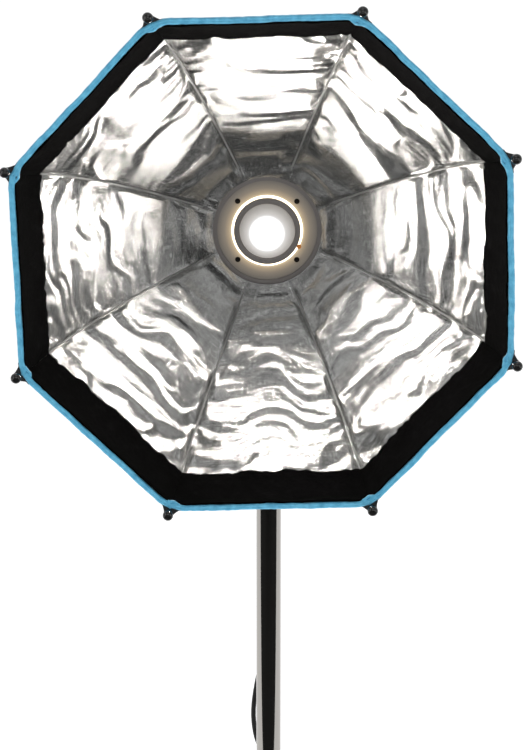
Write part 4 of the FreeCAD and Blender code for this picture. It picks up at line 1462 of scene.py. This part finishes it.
@dataclass
class HeadTrim:
    """Small parts on the lamp head, its mounting and the riser."""

    casing_radius: float = 62.0 * MM
    screw_circle: float = 52.0 * MM
    dial_side: float = 22.0 * MM
    dial_up: float = 18.0 * MM

    def dress_nodes(self) -> None:
        """Give every solid its finish."""
        for name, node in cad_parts.items():
            finish = NODE_FINISHES.get(name) or NODE_FINISHES[name.rsplit("_", 1)[0]]
            PALETTE.dress(node, finish)

    def back_frame(self, right: float, up: float, ahead: float) -> Matrix:
        """A place on the back panel, its Z pointing out of the back.

        Args:
            right: towards +X from the axis.
            up: above the axis.
            ahead: out of the panel's face.

        Returns:
            The matrix.
        """
        _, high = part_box("back_panel")
        return Matrix.Translation((right, high.y + ahead, OPTICS.height + up)) @ Matrix.Rotation(-math.pi / 2, 4, "X")

    def dial_scale(self, name: str, right: float, up: float) -> bpy.types.Object:
        """Tick marks printed round a dial.

        Args:
            name: the piece's name.
            right: the dial's place towards +X.
            up: the dial's place above the axis.

        Returns:
            The marks.
        """
        marks = []
        for step in range(11):
            angle = math.radians(-135 + 27 * step)
            long_mark = step % 5 == 0
            place = self.back_frame(right, up, 0.0) @ Matrix.Rotation(angle, 4, "Z") @ Matrix.Translation(
                (0, (15.4 if long_mark else 14.9) * MM, 0))
            size = (0.7 * MM, (3.0 if long_mark else 1.8) * MM, 0.3 * MM)
            marks.append(Bench.block(f"{name}_mark_{step}", size, place, 0.08 * MM, 1))
        piece = Bench.joined(name, marks)
        return ridden(piece, "lamp_head", MARKING)

    def dial_pointer(self, name: str, body: str, node: str) -> bpy.types.Object:
        """The line on a dial's cap.

        Args:
            name: the piece's name.
            body: the dial's body.
            node: the dial's node.

        Returns:
            The pointer.
        """
        low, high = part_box(node)
        middle = (low + high) / 2
        place = Matrix.Translation((middle.x, high.y, middle.z + 4.5 * MM))
        piece = Bench.block(name, (1.1 * MM, 0.5 * MM, 6.0 * MM), place, 0.2 * MM)
        return ridden(piece, body, MARKING)

    def screws(self) -> bpy.types.Object:
        """Recessed screws round the back panel."""
        heads = []
        profile = [(3.4 * MM, -0.6 * MM), (3.4 * MM, 0.7 * MM), (2.2 * MM, 1.5 * MM), (1.2 * MM, 1.5 * MM),
                   (0.9 * MM, 0.4 * MM)]
        for step in range(4):
            angle = math.radians(45 + 90 * step)
            reach = self.screw_circle
            place = self.back_frame(reach * math.cos(angle), reach * math.sin(angle), 0.0)
            heads.append(Bench.turned(f"screw_{step}", profile, place, 28, 0.15 * MM))
        piece = Bench.joined("panel_screws", heads)
        return ridden(piece, "lamp_head", BLACK_STEEL)

    def casing_band(self, name: str, along: float, width: float) -> bpy.types.Object:
        """A rubber bumper band round the casing.

        Args:
            name: the piece's name.
            along: its middle along the optical axis, in the part's frame.
            width: its width.

        Returns:
            The band.
        """
        radius = self.casing_radius
        profile = [(radius - 0.4 * MM, -width / 2), (radius + 1.2 * MM, -width / 2 + 0.6 * MM),
                   (radius + 1.7 * MM, 0.0), (radius + 1.2 * MM, width / 2 - 0.6 * MM), (radius - 0.4 * MM, width / 2)]
        place = Matrix.Translation((0, along, OPTICS.height)) @ Matrix.Rotation(-math.pi / 2, 4, "X")
        piece = Bench.turned(name, profile, place, 128, 0.0, hollow=True)
        return ridden(piece, "lamp_head", MOULDED_BLACK)

    def glow_gap(self) -> bpy.types.Object:
        """The lit gap round the dome's dark ring."""
        inner = OPTICS.dome_ring_radius
        low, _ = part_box("front_plate")
        profile = [(inner - 0.2 * MM, -0.2 * MM), (inner - 0.2 * MM, 0.9 * MM), (inner + 2.2 * MM, 0.5 * MM),
                   (inner + 3.4 * MM, -0.2 * MM)]
        place = Matrix.Translation((0, low.y, OPTICS.height)) @ Matrix.Rotation(math.pi / 2, 4, "X")
        piece = Bench.turned("lit_gap", profile, place, 128, 0.0, hollow=True)
        return ridden(piece, "lamp_head", WARM_GAP)

    def build(self) -> None:
        """Make all of the small parts."""
        self.dress_nodes()
        made = [self.dial_scale("flash_scale", -self.dial_side, self.dial_up),
                self.dial_scale("lamp_scale", self.dial_side, self.dial_up),
                self.dial_pointer("flash_pointer", "flash_control", "flash_dial"),
                self.dial_pointer("lamp_pointer", "lamp_control", "lamp_dial"), self.screws(),
                self.casing_band("rear_bumper", 0.176, 9 * MM), self.glow_gap()]
        log.info("head: %s", ", ".join(piece.name for piece in made))


@dataclass
class Studio:
    """Backdrop, lights and camera."""

    distance: float = 2.85
    elevation: float = math.radians(10.9)
    azimuth: float = math.radians(1.2)
    lens: float = 113.0
    sight_up: float = math.radians(2.58)
    sight_side: float = math.radians(0.0)

    def camera(self) -> None:
        """Stand the camera in front of the softbox, a little above its axis."""
        _, front = OPTICS.bow(1.0)
        target = Vector((0, OPTICS.ring_plane - front, OPTICS.height))
        level = math.cos(self.elevation)
        ray = Vector((math.sin(self.azimuth) * level, -math.cos(self.azimuth) * level, math.sin(self.elevation)))
        data = bpy.data.cameras.new("camera")
        data.lens = self.lens
        data.clip_end = 40.0
        camera = bpy.data.objects.new("camera", data)
        bpy.context.scene.collection.objects.link(camera)
        camera.location = target + ray * self.distance
        camera.rotation_euler = (math.pi / 2 - self.elevation - self.sight_up, 0.0, self.azimuth + self.sight_side)
        bpy.context.scene.camera = camera

    def lamp(self, name: str, place: Sequence[float], target: Sequence[float], size: tuple[float, float],
             power: float) -> bpy.types.Object:
        """A rectangular studio light.

        Args:
            name: its name.
            place: where it hangs.
            target: what it points at.
            size: its width and height.
            power: in watts.

        Returns:
            The light.
        """
        data = bpy.data.lights.new(name, "AREA")
        data.shape = "RECTANGLE"
        data.size, data.size_y = size
        data.energy = power
        light = bpy.data.objects.new(name, data)
        bpy.context.scene.collection.objects.link(light)
        light.location = place
        light.rotation_euler = (Vector(target) - Vector(place)).to_track_quat("-Z", "Y").to_euler()
        light.visible_camera = False
        return light

    def world(self) -> None:
        """A white room, darker in front of the softbox, where the camera stands."""
        world = bpy.data.worlds.new("studio")
        world.use_nodes = True
        bpy.context.scene.world = world
        tree = world.node_tree
        back = tree.nodes["Background"]
        back.inputs["Color"].default_value = (1, 1, 1, 1)
        back.inputs["Strength"].default_value = 1.05
        room = tree.nodes.new("ShaderNodeBackground")
        coordinates = tree.nodes.new("ShaderNodeTexCoord")
        split = tree.nodes.new("ShaderNodeSeparateXYZ")
        ramp = tree.nodes.new("ShaderNodeValToRGB")
        shift = tree.nodes.new("ShaderNodeMath")
        shift.operation = "MULTIPLY_ADD"
        shift.inputs[1].default_value = 0.5
        shift.inputs[2].default_value = 0.5
        tree.links.new(coordinates.outputs["Generated"], split.inputs[0])
        tree.links.new(split.outputs["Y"], shift.inputs[0])
        tree.links.new(shift.outputs[0], ramp.inputs[0])
        stops = [(0.0, 0.006), (0.26, 0.012), (0.37, 0.28), (0.60, 0.72)]
        elements = ramp.color_ramp.elements
        while len(elements) < len(stops):
            elements.new(0.5)
        for element, (position, grey) in zip(elements, stops):
            element.position = position
            element.color = (grey, grey, grey, 1)
        tree.links.new(ramp.outputs[0], room.inputs["Color"])
        seen = tree.nodes.new("ShaderNodeLightPath")
        mix = tree.nodes.new("ShaderNodeMixShader")
        tree.links.new(seen.outputs["Is Camera Ray"], mix.inputs[0])
        tree.links.new(room.outputs[0], mix.inputs[1])
        tree.links.new(back.outputs[0], mix.inputs[2])
        tree.links.new(mix.outputs[0], tree.nodes["World Output"].inputs["Surface"])

    def floor(self) -> None:
        """A plain pale floor."""
        low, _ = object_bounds()
        Bench.clear()
        bpy.ops.mesh.primitive_plane_add(size=14.0, location=(0, 0, low.z - 0.5 * MM))
        piece = Bench.named("studio_floor")
        PALETTE.dress(piece, Finish("floor_paper", (0.93, 0.93, 0.93), 0.8, glow=0.62))
        piece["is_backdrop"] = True

    def flags(self) -> None:
        """Black flags low in front and on the floor, which the polished riser mirrors."""
        upright = Matrix.Translation((0, -1.8, 0.30)) @ Matrix.Rotation(-math.pi / 2, 4, "X")
        low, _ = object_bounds()
        lying = Matrix.Translation((0, -1.05, low.z + 1 * MM))
        for name, place, wide, deep in (("standing_flag", upright, 4.8, 0.72), ("floor_flag", lying, 4.4, 1.5)):
            Bench.clear()
            bpy.ops.mesh.primitive_plane_add(size=1.0)
            piece = Bench.named(name)
            piece.data.transform(place @ Matrix.Diagonal((wide, deep, 1, 1)))
            PALETTE.dress(piece, Finish("flag_cloth", (0.004, 0.004, 0.004), 0.9))
            piece.visible_camera = piece.visible_shadow = piece.visible_diffuse = False
            piece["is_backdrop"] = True

    def build(self) -> None:
        """Set up the whole studio."""
        bpy.context.scene.view_settings.view_transform = "Standard"
        self.camera()
        self.world()
        self.floor()
        self.flags()
        aim = (0, -0.2, OPTICS.height)
        self.lamp("left_panel", (-1.9, -1.7, 1.5), aim, (0.7, 1.4), 7.5)
        self.lamp("right_panel", (1.9, -1.9, 1.2), aim, (0.6, 1.4), 6.5)
        self.lamp("top_panel", (0.1, -1.4, 2.9), aim, (1.4, 0.7), 5)
        self.lamp("front_fill", (0.2, -3.6, 2.3), aim, (2.2, 1.2), 12)
        self.lamp("back_panel_light", (0.3, 2.2, 2.0), (0, 0, 0.8), (1.6, 1.2), 8)
        low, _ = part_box("glass_dome")
        glow = self.lamp("lamp_glow", (0, low.y - 1.5 * MM, OPTICS.height), (0, low.y - 1.0, OPTICS.height),
                         (0.05, 0.05), 1.5)
        glow.data.shape = "DISK"
        glow.data.color = (1.0, 0.96, 0.91)


def main() -> None:
    """Build everything in order."""
    MainsLead().build()
    log.info("lead done")
    HeadTrim().build()
    ClothBowl().build()
    Studio().build()


if __name__ == "__main__":
    main()
